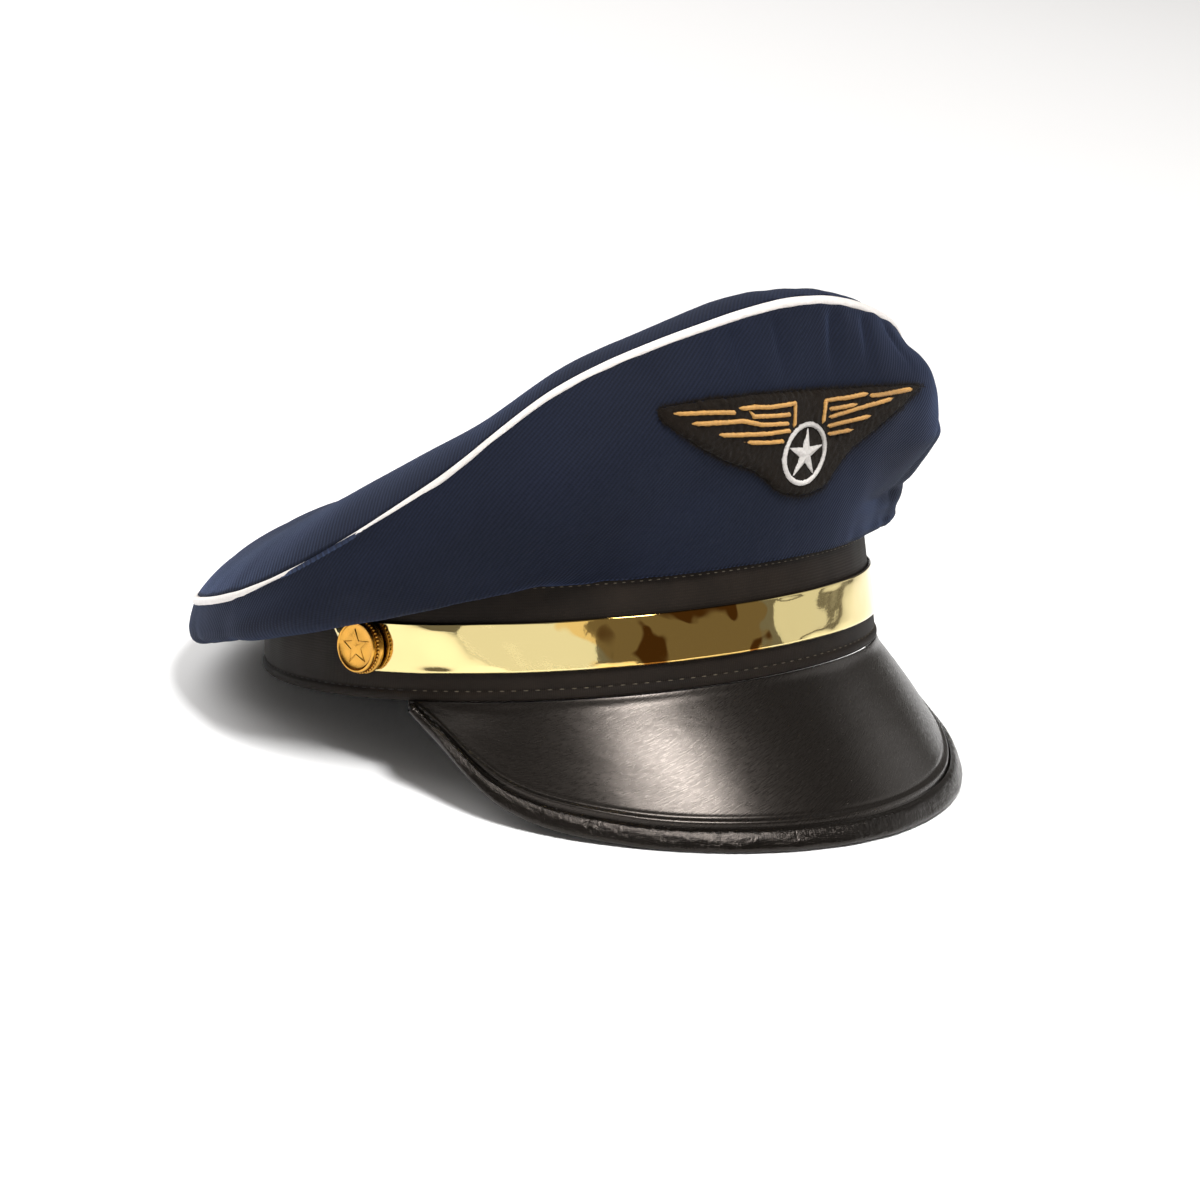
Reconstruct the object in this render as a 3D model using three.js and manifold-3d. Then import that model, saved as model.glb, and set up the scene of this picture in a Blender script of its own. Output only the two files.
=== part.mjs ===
// Pilot cap: cloth crown, dark band, gilt strap with two buttons, glossy peak and a winged badge.
// Millimetres. The cap is drawn upright, front towards -Y and the wearer's right towards -X,
// and then laid down as it rests by itself, on the peak's front edge and the band's back foot.

import * as THREE from 'three';
import { mergeVertices } from 'three/addons/utils/BufferGeometryUtils.js';
import ManifoldModule from 'manifold-3d';

// Head size
const headLength = 194;
const headWidth = 178;
const frontFullness = 0.05;

// Band
const bandHeight = 33.3;
const bandWall = 2;
const footFlare = 2;
const footRoll = 0.5;
const seamAllowance = 1;

// Crown
const crownRise = 74;
const overhang = 22;
const crownCloth = 1.5;
const topPuff = 16;
const topPuffSharpness = 8;
const topPeakForward = 25;

// Piping
const pipingDiameter = 2.8;
const pipingSides = 8;

// Strap and buttons
const strapHeight = 14.3;
const strapFoot = 8.3;
const strapThickness = 0.8;
const strapReachDegrees = 91;
const buttonDiameter = 16.4;
const buttonStand = 4.5;
const buttonDegrees = 82;

// Peak
const peakHalfWidth = 93.6;
const peakFront = 130.5;
const peakDrop = 44.5;
const peakRootDegrees = 74;
const peakSheet = 1.4;
const peakArch = 2.5;
const bindingWidth = 6;
const bindingSheet = 0.6;
const bindingReach = 0.85;

// Badge
const badgeHalfWidth = 56;
const badgeCentreHeight = 64.1;
const badgeLean = 1.9;
const badgeFelt = 1.8;
const ringDiameter = 18;
const threadWidth = 1.4;
const threadRise = 0.7;
const starSize = 7.6;
const starNotch = 0.38;

// Fit
const clearance = 0.3;

// How finely the round pieces are cut into facets
const stepsAround = 56;
const stepsUp = 9;
const stepsInward = 7;

const radians = THREE.MathUtils.degToRad;

// The head's oval at an angle from the front: x, y and the outward direction
function oval(angle, outward = 0) {
  const x = -headWidth / 2 * Math.sin(angle) * (1 + frontFullness * Math.cos(angle));
  const y = -headLength / 2 * Math.cos(angle);
  const slopeX = -headWidth / 2 * (Math.cos(angle) + frontFullness * Math.cos(2 * angle));
  const slopeY = headLength / 2 * Math.sin(angle);
  const length = Math.hypot(slopeX, slopeY);
  const normal = new THREE.Vector2(-slopeY / length, slopeX / length);
  return { x: x + normal.x * outward, y: y + normal.y * outward, normal };
}

// A point that stands out from the oval by a length, at a height
function standing(angle, outward, height) {
  const foot = oval(angle, outward);
  return new THREE.Vector3(foot.x, foot.y, height);
}

// A closed skin through a row of closed sections; a row that isn't a ring gets two end faces
function loft(sections, isRing) {
  const corners = sections[0].length;
  const positions = sections.flat().flatMap((point) => point.toArray());
  const faces = [];
  const rows = isRing ? sections.length : sections.length - 1;
  for (let row = 0; row < rows; row += 1) {
    const next = (row + 1) % sections.length;
    for (let corner = 0; corner < corners; corner += 1) {
      const beside = (corner + 1) % corners;
      const a = row * corners + corner;
      const b = row * corners + beside;
      const c = next * corners + beside;
      const d = next * corners + corner;
      faces.push(a, b, c, a, c, d);
    }
  }
  if (!isRing) {
    const last = (sections.length - 1) * corners;
    for (let corner = 0; corner < corners / 2 - 1; corner += 1) {
      const a = corner;
      const b = corner + 1;
      const c = corners - 2 - corner;
      const d = corners - 1 - corner;
      faces.push(a, c, b, a, d, c);
      faces.push(last + a, last + b, last + c, last + a, last + c, last + d);
    }
  }
  return closedSkin(positions, faces);
}

// Joins equal corners, drops faces without area and turns the skin outside out
function closedSkin(positions, faces) {
  const loose = new THREE.BufferGeometry();
  loose.setAttribute('position', new THREE.Float32BufferAttribute(positions, 3));
  loose.setIndex(faces);
  const joined = mergeVertices(loose, 1e-3);
  const index = joined.getIndex().array;
  const place = joined.getAttribute('position');
  const kept = [];
  let volume = 0;
  for (let start = 0; start < index.length; start += 3) {
    const [a, b, c] = index.slice(start, start + 3);
    if (a !== b && b !== c && c !== a) {
      kept.push(a, b, c);
      const corners = [a, b, c].map((corner) => new THREE.Vector3().fromBufferAttribute(place, corner));
      volume += corners[0].dot(corners[1].cross(corners[2]));
    }
  }
  joined.setIndex(volume > 0 ? kept : kept.reverse());
  joined.computeVertexNormals();
  return joined;
}

// Values of a table between its rows, level at the first and last row
function between(rows, key) {
  const names = Object.keys(rows[0]).filter((name) => name !== key);
  const places = rows.map((row) => row[key]);
  const values = rows.flatMap((row) => names.map((name) => row[name]));
  const spline = new THREE.CubicInterpolant(places, values, names.length, new Float64Array(names.length));
  spline.settings = { endingStart: THREE.ZeroSlopeEnding, endingEnd: THREE.ZeroSlopeEnding };
  return (place) => {
    const found = spline.evaluate(place);
    return Object.fromEntries(names.map((name, column) => [name, found[column]]));
  };
}

// Crown sections from the front, 0 degrees, to the back: each rises from the band's top edge by
// a shoulder and a belly to the welt. Out is a share of the overhang, up a share of the rise.
const crownRows = [
  {
    turn: 0, shoulderOut: 0.30, shoulderUp: 0.35,
    bellyOut: 0.50, bellyUp: 0.67, weltOut: 0.44, weltUp: 1.00,
  },
  {
    turn: 22, shoulderOut: 0.35, shoulderUp: 0.29,
    bellyOut: 0.76, bellyUp: 0.59, weltOut: 0.46, weltUp: 0.92,
  },
  {
    turn: 42, shoulderOut: 0.44, shoulderUp: 0.10,
    bellyOut: 1.06, bellyUp: 0.43, weltOut: 0.62, weltUp: 0.75,
  },
  {
    turn: 62, shoulderOut: 0.36, shoulderUp: -0.04,
    bellyOut: 0.85, bellyUp: 0.18, weltOut: 0.71, weltUp: 0.41,
  },
  {
    turn: 90, shoulderOut: 0.50, shoulderUp: -0.16,
    bellyOut: 1.01, bellyUp: -0.12, weltOut: 1.00, weltUp: 0.04,
  },
  {
    turn: 120, shoulderOut: 0.55, shoulderUp: -0.23,
    bellyOut: 1.01, bellyUp: -0.27, weltOut: 0.98, weltUp: -0.12,
  },
  {
    turn: 150, shoulderOut: 0.59, shoulderUp: -0.22,
    bellyOut: 1.02, bellyUp: -0.29, weltOut: 0.96, weltUp: -0.155,
  },
  {
    turn: 180, shoulderOut: 0.60, shoulderUp: -0.19,
    bellyOut: 1.05, bellyUp: -0.22, weltOut: 1.00, weltUp: -0.06,
  },
];
const crownAt = between(crownRows, 'turn');

// The seam stands just outside the band's top edge
const seamOut = clearance + crownCloth / 2;

// One section of the crown's side as a curve of (outward, height), from the seam to the welt
function crownSection(angle) {
  const turn = Math.abs(THREE.MathUtils.radToDeg(Math.atan2(Math.sin(angle), Math.cos(angle))));
  const row = crownAt(turn);
  return new THREE.SplineCurve([
    new THREE.Vector2(seamOut, bandHeight),
    new THREE.Vector2(row.shoulderOut * overhang, bandHeight + row.shoulderUp * crownRise),
    new THREE.Vector2(row.bellyOut * overhang, bandHeight + row.bellyUp * crownRise),
    new THREE.Vector2(row.weltOut * overhang, bandHeight + row.weltUp * crownRise),
  ]);
}

// The welt runs round the crown where its side meets its top
function welt(angle) {
  const end = crownSection(angle).getPoint(1);
  return standing(angle, end.x, end.y);
}

// Distance along a section that the piping takes from each panel's edge
const pipingSeat = pipingDiameter / 2 + clearance;

function crownSidePoint(angle, share) {
  const curve = crownSection(angle);
  const reach = 1 - pipingSeat / curve.getLength();
  const middle = curve.getPointAt(share * reach);
  const along = curve.getTangentAt(share * reach);
  return { middle, outward: new THREE.Vector2(along.y, -along.x) };
}

function crownSide() {
  const sections = [];
  for (let step = 0; step < stepsAround; step += 1) {
    const angle = step / stepsAround * 2 * Math.PI;
    const outside = [];
    const inside = [];
    for (let up = 0; up <= stepsUp; up += 1) {
      const { middle, outward } = crownSidePoint(angle, up / stepsUp);
      const half = crownCloth / 2;
      outside.push(standing(angle, middle.x + outward.x * half, middle.y + outward.y * half));
      inside.push(standing(angle, middle.x - outward.x * half, middle.y - outward.y * half));
    }
    sections.push([...outside, ...inside.reverse()]);
  }
  return loft(sections, true);
}

// The top panel hangs from the welt like a skin over a rim: each wave of the welt's height
// fades towards the middle, and the cloth puffs up a little over all of it
const topWaves = 5;
const weltSamples = 72;

function weltWaves() {
  const waves = [];
  for (let wave = 0; wave <= topWaves; wave += 1) {
    let sum = 0;
    for (let sample = 0; sample < weltSamples; sample += 1) {
      const angle = sample / weltSamples * 2 * Math.PI;
      sum += welt(angle).z * Math.cos(wave * angle);
    }
    waves.push(sum / weltSamples * (wave === 0 ? 1 : 2));
  }
  return waves;
}

function crownTopPoint(waves, angle, share) {
  const edge = welt(angle);
  const middle = new THREE.Vector2(0, -topPeakForward);
  const x = THREE.MathUtils.lerp(middle.x, edge.x, share);
  const y = THREE.MathUtils.lerp(middle.y, edge.y, share);
  let height = 0;
  let rimHeight = 0;
  waves.forEach((size, wave) => {
    height += size * share ** wave * Math.cos(wave * angle);
    rimHeight += size * Math.cos(wave * angle);
  });
  const puff = topPuff * (1 - share ** topPuffSharpness);
  return new THREE.Vector3(x, y, height + (edge.z - rimHeight) * share ** topWaves + puff);
}

function crownTop() {
  const waves = weltWaves();
  const rings = [];
  for (const side of [1, -1]) {
    for (let ring = 0; ring <= stepsInward; ring += 1) {
      const inward = side > 0 ? ring / stepsInward : 1 - ring / stepsInward;
      const points = [];
      for (let step = 0; step < stepsAround; step += 1) {
        const angle = step / stepsAround * 2 * Math.PI;
        const edge = welt(angle);
        const reach = Math.hypot(edge.x, edge.y + topPeakForward);
        const share = (1 - inward) * (1 - pipingSeat / reach);
        const point = crownTopPoint(waves, angle, share);
        point.z += side * crownCloth / 2;
        points.push(point);
      }
      rings.push(points);
    }
  }
  return loft(rings, true);
}

// The piping is a round cord sewn into the welt
function piping() {
  const sections = [];
  for (let step = 0; step < stepsAround; step += 1) {
    const angle = step / stepsAround * 2 * Math.PI;
    const middle = crownSection(angle).getPoint(1);
    const points = [];
    for (let side = 0; side < pipingSides; side += 1) {
      const turn = side / pipingSides * 2 * Math.PI;
      const out = middle.x + pipingDiameter / 2 * Math.cos(turn);
      points.push(standing(angle, out, middle.y + pipingDiameter / 2 * Math.sin(turn)));
    }
    sections.push(points);
  }
  return loft(sections, true);
}

// The band flares a little towards its foot, and its lower edge is rolled under
function bandOut(height) {
  return footFlare * (1 - Math.min(height, bandHeight) / bandHeight);
}

function hatBand() {
  const strapTop = strapFoot + strapHeight;
  const heights = [0, footRoll, strapFoot, strapTop, bandHeight, bandHeight + seamAllowance];
  const sections = [];
  for (let step = 0; step < stepsAround; step += 1) {
    const angle = step / stepsAround * 2 * Math.PI;
    const edge = (height, depth) => {
      const rolled = height > 0 ? 0 : footRoll;
      return standing(angle, bandOut(height) - (depth > 0 ? depth - rolled : rolled), height);
    };
    const outside = heights.map((height) => edge(height, 0));
    const inside = heights.map((height) => edge(height, bandWall));
    sections.push([...outside, ...inside.reverse()]);
  }
  return loft(sections, true);
}

// The strap goes round the front, flat on the band, with an end past each button
const strapOut = clearance;

function strap() {
  const reach = radians(strapReachDegrees);
  const steps = Math.round(stepsAround * strapReachDegrees / 180);
  const sections = [];
  for (let step = 0; step <= steps; step += 1) {
    const angle = THREE.MathUtils.lerp(-reach, reach, step / steps);
    const edge = (height, out) => standing(angle, bandOut(height) + strapOut + out, height);
    const heights = [strapFoot, strapFoot + strapHeight];
    const back = heights.map((height) => edge(height, 0));
    const face = heights.map((height) => edge(height, strapThickness));
    sections.push([...back, ...face.reverse()]);
  }
  return loft(sections, false);
}

// Solids for joining
const wasm = await ManifoldModule();
wasm.setup();

function solidOf(geometry) {
  const bare = geometry.clone();
  bare.deleteAttribute('normal');
  bare.deleteAttribute('uv');
  const joined = mergeVertices(bare, 1e-4);
  const vertProperties = Float32Array.from(joined.getAttribute('position').array);
  const triVerts = Uint32Array.from(joined.getIndex().array);
  return new wasm.Manifold(new wasm.Mesh({ numProp: 3, vertProperties, triVerts }));
}

function geometryOf(solid) {
  const mesh = solid.getMesh();
  const geometry = new THREE.BufferGeometry();
  geometry.setAttribute('position', new THREE.Float32BufferAttribute(mesh.vertProperties, 3));
  geometry.setIndex([...mesh.triVerts]);
  geometry.computeVertexNormals();
  return geometry;
}

// A five-pointed star plate, flat on its back, with a point towards +Y
const starPoints = 5;

function starPlate(size, notch, thickness) {
  const outline = new THREE.Shape();
  for (let corner = 0; corner < 2 * starPoints; corner += 1) {
    const turn = Math.PI / 2 + Math.PI / starPoints * corner;
    const reach = corner % 2 ? size * notch : size;
    const place = [reach * Math.cos(turn), reach * Math.sin(turn)];
    if (corner === 0) {
      outline.moveTo(...place);
    } else {
      outline.lineTo(...place);
    }
  }
  outline.closePath();
  return new THREE.ExtrudeGeometry(outline, { depth: thickness, bevelEnabled: false });
}

// A stamped button: a rolled flange, a milled step, a raised rim and a star in the sunk face
const buttonRows = [
  { radius: 0.00, height: 0.00 },
  { radius: 0.88, height: 0.00 },
  { radius: 1.00, height: 0.13 },
  { radius: 0.97, height: 0.30 },
  { radius: 0.91, height: 0.42 },
  { radius: 0.92, height: 0.90 },
  { radius: 0.85, height: 1.00 },
  { radius: 0.79, height: 0.86 },
  { radius: 0.00, height: 0.90 },
];
const buttonSides = 24;
const buttonStarSize = 0.66;
const buttonStarNotch = 0.45;
const buttonStarSeat = 0.62;
const buttonStarRise = 0.4;

function button() {
  const radius = buttonDiameter / 2;
  const profile = buttonRows.map((row) => new THREE.Vector2(row.radius * radius, row.height * buttonStand));
  const body = new THREE.LatheGeometry(profile, buttonSides);
  body.rotateX(Math.PI / 2);
  const seat = buttonStand * buttonStarSeat;
  const face = buttonStand * buttonRows[buttonRows.length - 1].height;
  const star = starPlate(radius * buttonStarSize, buttonStarNotch, face - seat + buttonStarRise);
  star.translate(0, 0, seat);
  return geometryOf(solidOf(body).add(solidOf(star)));
}

// The peak's outer edge from the middle of the front to a corner, as shares of its sizes
const peakEdgeRows = [
  { across: 0.00, forward: 1.00, down: 1.00 },
  { across: 0.41, forward: 0.93, down: 0.96 },
  { across: 0.75, forward: 0.74, down: 0.845 },
  { across: 0.945, forward: 0.515, down: 0.61 },
  { across: 0.99, forward: 0.26, down: 0.03 },
];
const peakEdge = new THREE.CatmullRomCurve3([-1, 1].flatMap((side) => {
  const rows = side < 0 ? [...peakEdgeRows].reverse() : peakEdgeRows.slice(1);
  return rows.map((row) => new THREE.Vector3(
    side * row.across * peakHalfWidth,
    -row.forward * peakFront,
    -row.down * peakDrop,
  ));
}));
const peakRootOut = footFlare - bandWall / 2;
const peakRootDown = clearance + peakSheet / 2;

function peakPlace(across, forward) {
  const angle = radians(peakRootDegrees) * (1 - 2 * across);
  const root = standing(angle, peakRootOut, -peakRootDown);
  const edge = peakEdge.getPoint(across);
  const point = root.lerp(edge, forward);
  point.z += peakArch * 4 * forward * (1 - forward) * Math.sin(Math.PI * across);
  return point;
}

// The peak's middle surface and its upward normal, from the places beside it
function peakSurface(across, forward) {
  const nudge = 0.002;
  const before = peakPlace(Math.max(across - nudge, 0), forward);
  const after = peakPlace(Math.min(across + nudge, 1), forward);
  const under = peakPlace(across, Math.max(forward - nudge, 0));
  const over = peakPlace(across, Math.min(forward + nudge, 1));
  const normal = over.sub(under).cross(after.sub(before)).normalize();
  return { point: peakPlace(across, forward), normal };
}
const peakSteps = 32;
const peakRowShares = [0, 1 / 3, 2 / 3, 1];

// How long the peak is at a step across it, and how much of that the binding covers
function peakSpan(across) {
  const length = peakPlace(across, 0).distanceTo(peakPlace(across, 1));
  return { length, width: Math.min(bindingWidth, length * bindingReach) };
}

// The peak is one moulded sheet of even thickness
function peak() {
  const sections = [];
  for (let step = 0; step <= peakSteps; step += 1) {
    const across = step / peakSteps;
    const { length, width } = peakSpan(across);
    const bound = width / length;
    const rows = peakRowShares.map((share) => share * (1 - bound));
    const points = [...rows, 1 - bound / 2, 1].map((forward) => peakSurface(across, forward));
    const top = points.map(({ point, normal }) => point.clone().addScaledVector(normal, peakSheet / 2));
    const bottom = points.map(({ point, normal }) => point.clone().addScaledVector(normal, -peakSheet / 2));
    sections.push([...top, ...bottom.reverse()]);
  }
  return loft(sections, false);
}

// The binding is folded over the peak's edge, a little clear of the sheet on both sides
function peakBinding() {
  const sections = [];
  for (let step = 0; step <= peakSteps; step += 1) {
    const across = step / peakSteps;
    const { length, width } = peakSpan(across);
    const outward = peakPlace(across, 1).sub(peakPlace(across, 1 - 1 / length)).normalize();
    const skin = (grow) => {
      const half = peakSheet / 2 + clearance + grow;
      const rows = [width, width / 2, 0].map((inward) => peakSurface(across, 1 - inward / length));
      const top = rows.map(({ point, normal }) => point.clone().addScaledVector(normal, half));
      const bottom = rows.map(({ point, normal }) => point.clone().addScaledVector(normal, -half));
      const nose = [0.5, -0.5].map((share) => rows[2].point.clone()
        .addScaledVector(outward, clearance + grow)
        .addScaledVector(rows[2].normal, share * half));
      return [...top, ...nose, ...bottom.reverse()];
    };
    sections.push([...skin(0), ...skin(bindingSheet).reverse()]);
  }
  return loft(sections, false);
}

// The badge lies on the crown's front: across is a length to the wearer's left, up is above
// the badge's centre, and the answer stands off the cloth's outer face by a length. The place
// on the cloth is found by steps of a share of what is still missing.
const searchPasses = 25;
const searchStep = 0.8;
const nearby = 0.01;

function onFront(across, up, standoff) {
  const lean = radians(badgeLean);
  const x = across * Math.cos(lean) + up * Math.sin(lean);
  const z = badgeCentreHeight + up * Math.cos(lean) - across * Math.sin(lean);
  let angle = 0;
  let share = 1 / 2;
  const middle = () => {
    const place = crownSection(angle).getPoint(share);
    return standing(angle, place.x, place.y);
  };
  for (let pass = 0; pass < searchPasses; pass += 1) {
    const point = middle();
    angle -= (x - point.x) / (headWidth / 2) * searchStep;
    share += (z - point.z) / crownRise * searchStep;
  }
  const point = middle();
  angle -= nearby;
  const beside = middle().sub(point);
  angle += nearby;
  share += nearby;
  const above = middle().sub(point);
  const normal = beside.cross(above).normalize();
  return point.addScaledVector(normal, crownCloth / 2 + standoff);
}

// The felt's outline from the middle to a wing's tip: low and high are heights from the
// badge's centre, all as shares of the badge's half width
const badgeRows = [
  { across: 0.000, low: -0.222, high: 0.322 },
  { across: 0.090, low: -0.210, high: 0.321 },
  { across: 0.155, low: -0.190, high: 0.320 },
  { across: 0.205, low: -0.160, high: 0.319 },
  { across: 0.265, low: -0.108, high: 0.318 },
  { across: 0.360, low: -0.036, high: 0.316 },
  { across: 0.520, low: 0.032, high: 0.312 },
  { across: 0.680, low: 0.110, high: 0.305 },
  { across: 0.840, low: 0.190, high: 0.292 },
  { across: 0.925, low: 0.232, high: 0.284 },
  { across: 0.965, low: 0.255, high: 0.272 },
];
const patchShares = [0, 0.25, 0.5, 0.75, 1];

function badgePatch() {
  const left = badgeRows.slice(1).map((row) => ({ ...row, across: -row.across })).reverse();
  const sections = [...left, ...badgeRows].map((row) => {
    const skin = (standoff) => patchShares.map((share) => onFront(
      row.across * badgeHalfWidth,
      THREE.MathUtils.lerp(row.low, row.high, share) * badgeHalfWidth,
      standoff,
    ));
    return [...skin(clearance), ...skin(clearance + badgeFelt).reverse()];
  });
  return loft(sections, false);
}

const threadOut = clearance + badgeFelt + clearance;
const ringSteps = 32;

function badgeRing() {
  const sections = [];
  for (let step = 0; step < ringSteps; step += 1) {
    const turn = step / ringSteps * 2 * Math.PI;
    const edge = (radius, standoff) => onFront(radius * Math.cos(turn), radius * Math.sin(turn), standoff);
    const outer = ringDiameter / 2;
    const inner = outer - threadWidth;
    sections.push([
      edge(outer, threadOut),
      edge(outer, threadOut + threadRise),
      edge(inner, threadOut + threadRise),
      edge(inner, threadOut),
    ]);
  }
  return loft(sections, true);
}

// Gold feathers of one wing from the outer end inwards, as shares of the badge's half width
const featherRows = [
  {
    name: 'feather_1_tip',
    path: [{ across: 0.87, up: 0.256 }, { across: 0.515, up: 0.254 }],
  },
  {
    name: 'feather_1',
    path: [{ across: 0.485, up: 0.270 }, { across: 0.12, up: 0.262 }, { across: 0.105, up: 0.185 }],
  },
  {
    name: 'feather_2',
    path: [{ across: 0.40, up: 0.226 }, { across: 0.15, up: 0.214 }],
  },
  {
    name: 'feather_3',
    path: [
      { across: 0.73, up: 0.214 }, { across: 0.45, up: 0.200 },
      { across: 0.35, up: 0.184 }, { across: 0.16, up: 0.170 },
    ],
  },
  {
    name: 'feather_4',
    path: [{ across: 0.57, up: 0.158 }, { across: 0.32, up: 0.138 }, { across: 0.18, up: 0.129 }],
  },
  {
    name: 'feather_5',
    path: [{ across: 0.41, up: 0.101 }, { across: 0.30, up: 0.090 }, { across: 0.20, up: 0.084 }],
  },
];

function feather(corners, side) {
  const path = corners.flatMap((corner, row) => {
    const next = corners[row + 1] ?? corner;
    const middle = { across: (corner.across + next.across) / 2, up: (corner.up + next.up) / 2 };
    return next === corner ? [corner] : [corner, middle];
  });
  const sections = path.map((place, row) => {
    const before = path[Math.max(row - 1, 0)];
    const after = path[Math.min(row + 1, path.length - 1)];
    const along = new THREE.Vector2(after.across - before.across, after.up - before.up).normalize();
    const edge = (width, standoff) => onFront(
      side * (place.across * badgeHalfWidth - along.y * width),
      place.up * badgeHalfWidth + along.x * width,
      standoff,
    );
    const half = threadWidth / 2;
    return [
      edge(-half, threadOut),
      edge(half, threadOut),
      edge(half, threadOut + threadRise),
      edge(-half, threadOut + threadRise),
    ];
  });
  return loft(sections, false);
}

const navyCloth = new THREE.MeshStandardMaterial({ color: 0x242635, roughness: 0.85, metalness: 0 });
const whiteCord = new THREE.MeshStandardMaterial({ color: 0xebe6e2, roughness: 0.6, metalness: 0 });
const darkCloth = new THREE.MeshStandardMaterial({ color: 0x2a2420, roughness: 0.8, metalness: 0 });
const giltFoil = new THREE.MeshStandardMaterial({ color: 0xe0cd94, roughness: 0.12, metalness: 1 });
const brass = new THREE.MeshStandardMaterial({ color: 0xd09a4c, roughness: 0.3, metalness: 1 });
const glossVinyl = new THREE.MeshStandardMaterial({ color: 0x0c0b0a, roughness: 0.2, metalness: 0 });
const blackFelt = new THREE.MeshStandardMaterial({ color: 0x221b14, roughness: 0.95, metalness: 0 });
const whiteThread = new THREE.MeshStandardMaterial({ color: 0xe1dcd7, roughness: 0.6, metalness: 0 });
const goldThread = new THREE.MeshStandardMaterial({ color: 0xc8a05f, roughness: 0.5, metalness: 0 });

const cap = new THREE.Group();

function add(name, geometry, material) {
  const mesh = new THREE.Mesh(geometry, material);
  mesh.name = name;
  cap.add(mesh);
  return mesh;
}

add('hat_band', hatBand(), darkCloth);
add('crown_side', crownSide(), navyCloth);
add('crown_top', crownTop(), navyCloth);
add('piping', piping(), whiteCord);
add('strap', strap(), giltFoil);
add('peak', peak(), glossVinyl);
add('peak_binding', peakBinding(), glossVinyl);
add('badge_patch', badgePatch(), blackFelt);
add('badge_ring', badgeRing(), whiteThread);

const star = add('badge_star', starPlate(starSize, starNotch, threadRise), whiteThread);
const starBack = onFront(0, 0, threadOut);
const starFace = onFront(0, 0, threadOut + threadRise);
const starTop = onFront(0, 1, threadOut);
const starAxis = starFace.sub(starBack).normalize();
const starUp = starTop.sub(starBack).normalize();
star.matrix.makeBasis(starUp.clone().cross(starAxis), starUp, starAxis).setPosition(starBack);
star.matrix.decompose(star.position, star.quaternion, star.scale);

for (const [side, hand] of [[-1, 'right'], [1, 'left']]) {
  featherRows.forEach((row) => add(`${row.name}_${hand}`, feather(row.path, side), goldThread));
  const stud = add(`button_${hand}`, button(), brass);
  const angle = -side * radians(buttonDegrees);
  const height = strapFoot + strapHeight / 2;
  const out = bandOut(height) + strapOut + strapThickness + clearance;
  stud.position.copy(standing(angle, out, height));
  const facing = oval(angle).normal;
  const slope = Math.atan2(footFlare, bandHeight);
  const ahead = new THREE.Vector3(facing.x, facing.y, Math.tan(slope));
  stud.up.set(0, 0, 1);
  stud.lookAt(stud.position.clone().add(ahead));
}

// Laid down at rest: the peak's front edge and the band's back foot are level
const edgeThickness = peakSheet / 2 + clearance + bindingSheet;
cap.rotation.x = -Math.atan2(peakDrop + edgeThickness, peakFront + headLength / 2 + footFlare);
cap.updateMatrixWorld(true);
const box = new THREE.Box3().setFromObject(cap, true);
const middleOfBox = box.getCenter(new THREE.Vector3());
cap.position.set(-middleOfBox.x, -middleOfBox.y, -box.min.z);

const rested = new THREE.Group();
rested.add(cap);

export default rested;
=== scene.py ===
import math
import random

import bmesh
import bpy
from mathutils import Matrix, Vector, noise


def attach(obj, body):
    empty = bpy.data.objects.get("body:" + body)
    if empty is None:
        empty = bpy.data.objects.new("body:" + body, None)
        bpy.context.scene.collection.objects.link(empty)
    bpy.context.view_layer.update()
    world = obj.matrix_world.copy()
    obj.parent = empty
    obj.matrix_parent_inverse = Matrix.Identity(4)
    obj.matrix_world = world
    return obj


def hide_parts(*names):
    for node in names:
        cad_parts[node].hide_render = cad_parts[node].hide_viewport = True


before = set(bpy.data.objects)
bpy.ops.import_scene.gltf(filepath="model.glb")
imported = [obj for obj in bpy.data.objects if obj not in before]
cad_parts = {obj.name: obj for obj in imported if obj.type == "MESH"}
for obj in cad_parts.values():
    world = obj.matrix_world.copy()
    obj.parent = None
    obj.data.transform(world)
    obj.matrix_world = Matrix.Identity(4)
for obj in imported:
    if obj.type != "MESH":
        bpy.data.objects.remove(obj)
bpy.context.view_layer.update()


# The cap at rest
# The cap is measured upright in millimetres: front towards -Y, wearer's right towards -X, zero
# at the middle of the band's foot. It rests on its peak's front edge and the band's back foot.
HEAD_LENGTH = 194.0
HEAD_WIDTH = 178.0
FRONT_FULLNESS = 0.05
PEAK_FRONT = 130.5
PEAK_DROP = 44.5
PEAK_EDGE_THICKNESS = 1.6
FOOT_FLARE = 2.0
REST_SHIFT = Vector((0, 7.0907, 19.4075))

rest_tilt = -math.atan2(PEAK_DROP + PEAK_EDGE_THICKNESS, PEAK_FRONT + HEAD_LENGTH / 2 + FOOT_FLARE)
rest_turn = Matrix.Rotation(rest_tilt, 3, "X")


def at_rest(point):
    """A place on the upright cap in millimetres, as the resting cap has it in metres"""
    return (rest_turn @ Vector(point) + REST_SHIFT) / 1000


# Camera, floor and light
# The camera looks at the wearer's right front from a little above, rolled by a few degrees.
# The floor and the room are plain and pale, with soft light from above and from the front.
VIEW_TURN = math.radians(43)
VIEW_DOWN = math.radians(8.9)
VIEW_ROLL = math.radians(-3.7)
VIEW_DISTANCE = 1100.0
FOCAL_PIXELS = 3537.0
PICTURE_PIXELS = 1200.0
CAP_PIXEL = (563.0, 647.0)
SENSOR_WIDTH = 36
ROOM_COLOUR = (1.0, 0.93, 0.86, 1)
ROOM_STRENGTH = 0.22
FLOOR_HALF = 6

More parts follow.
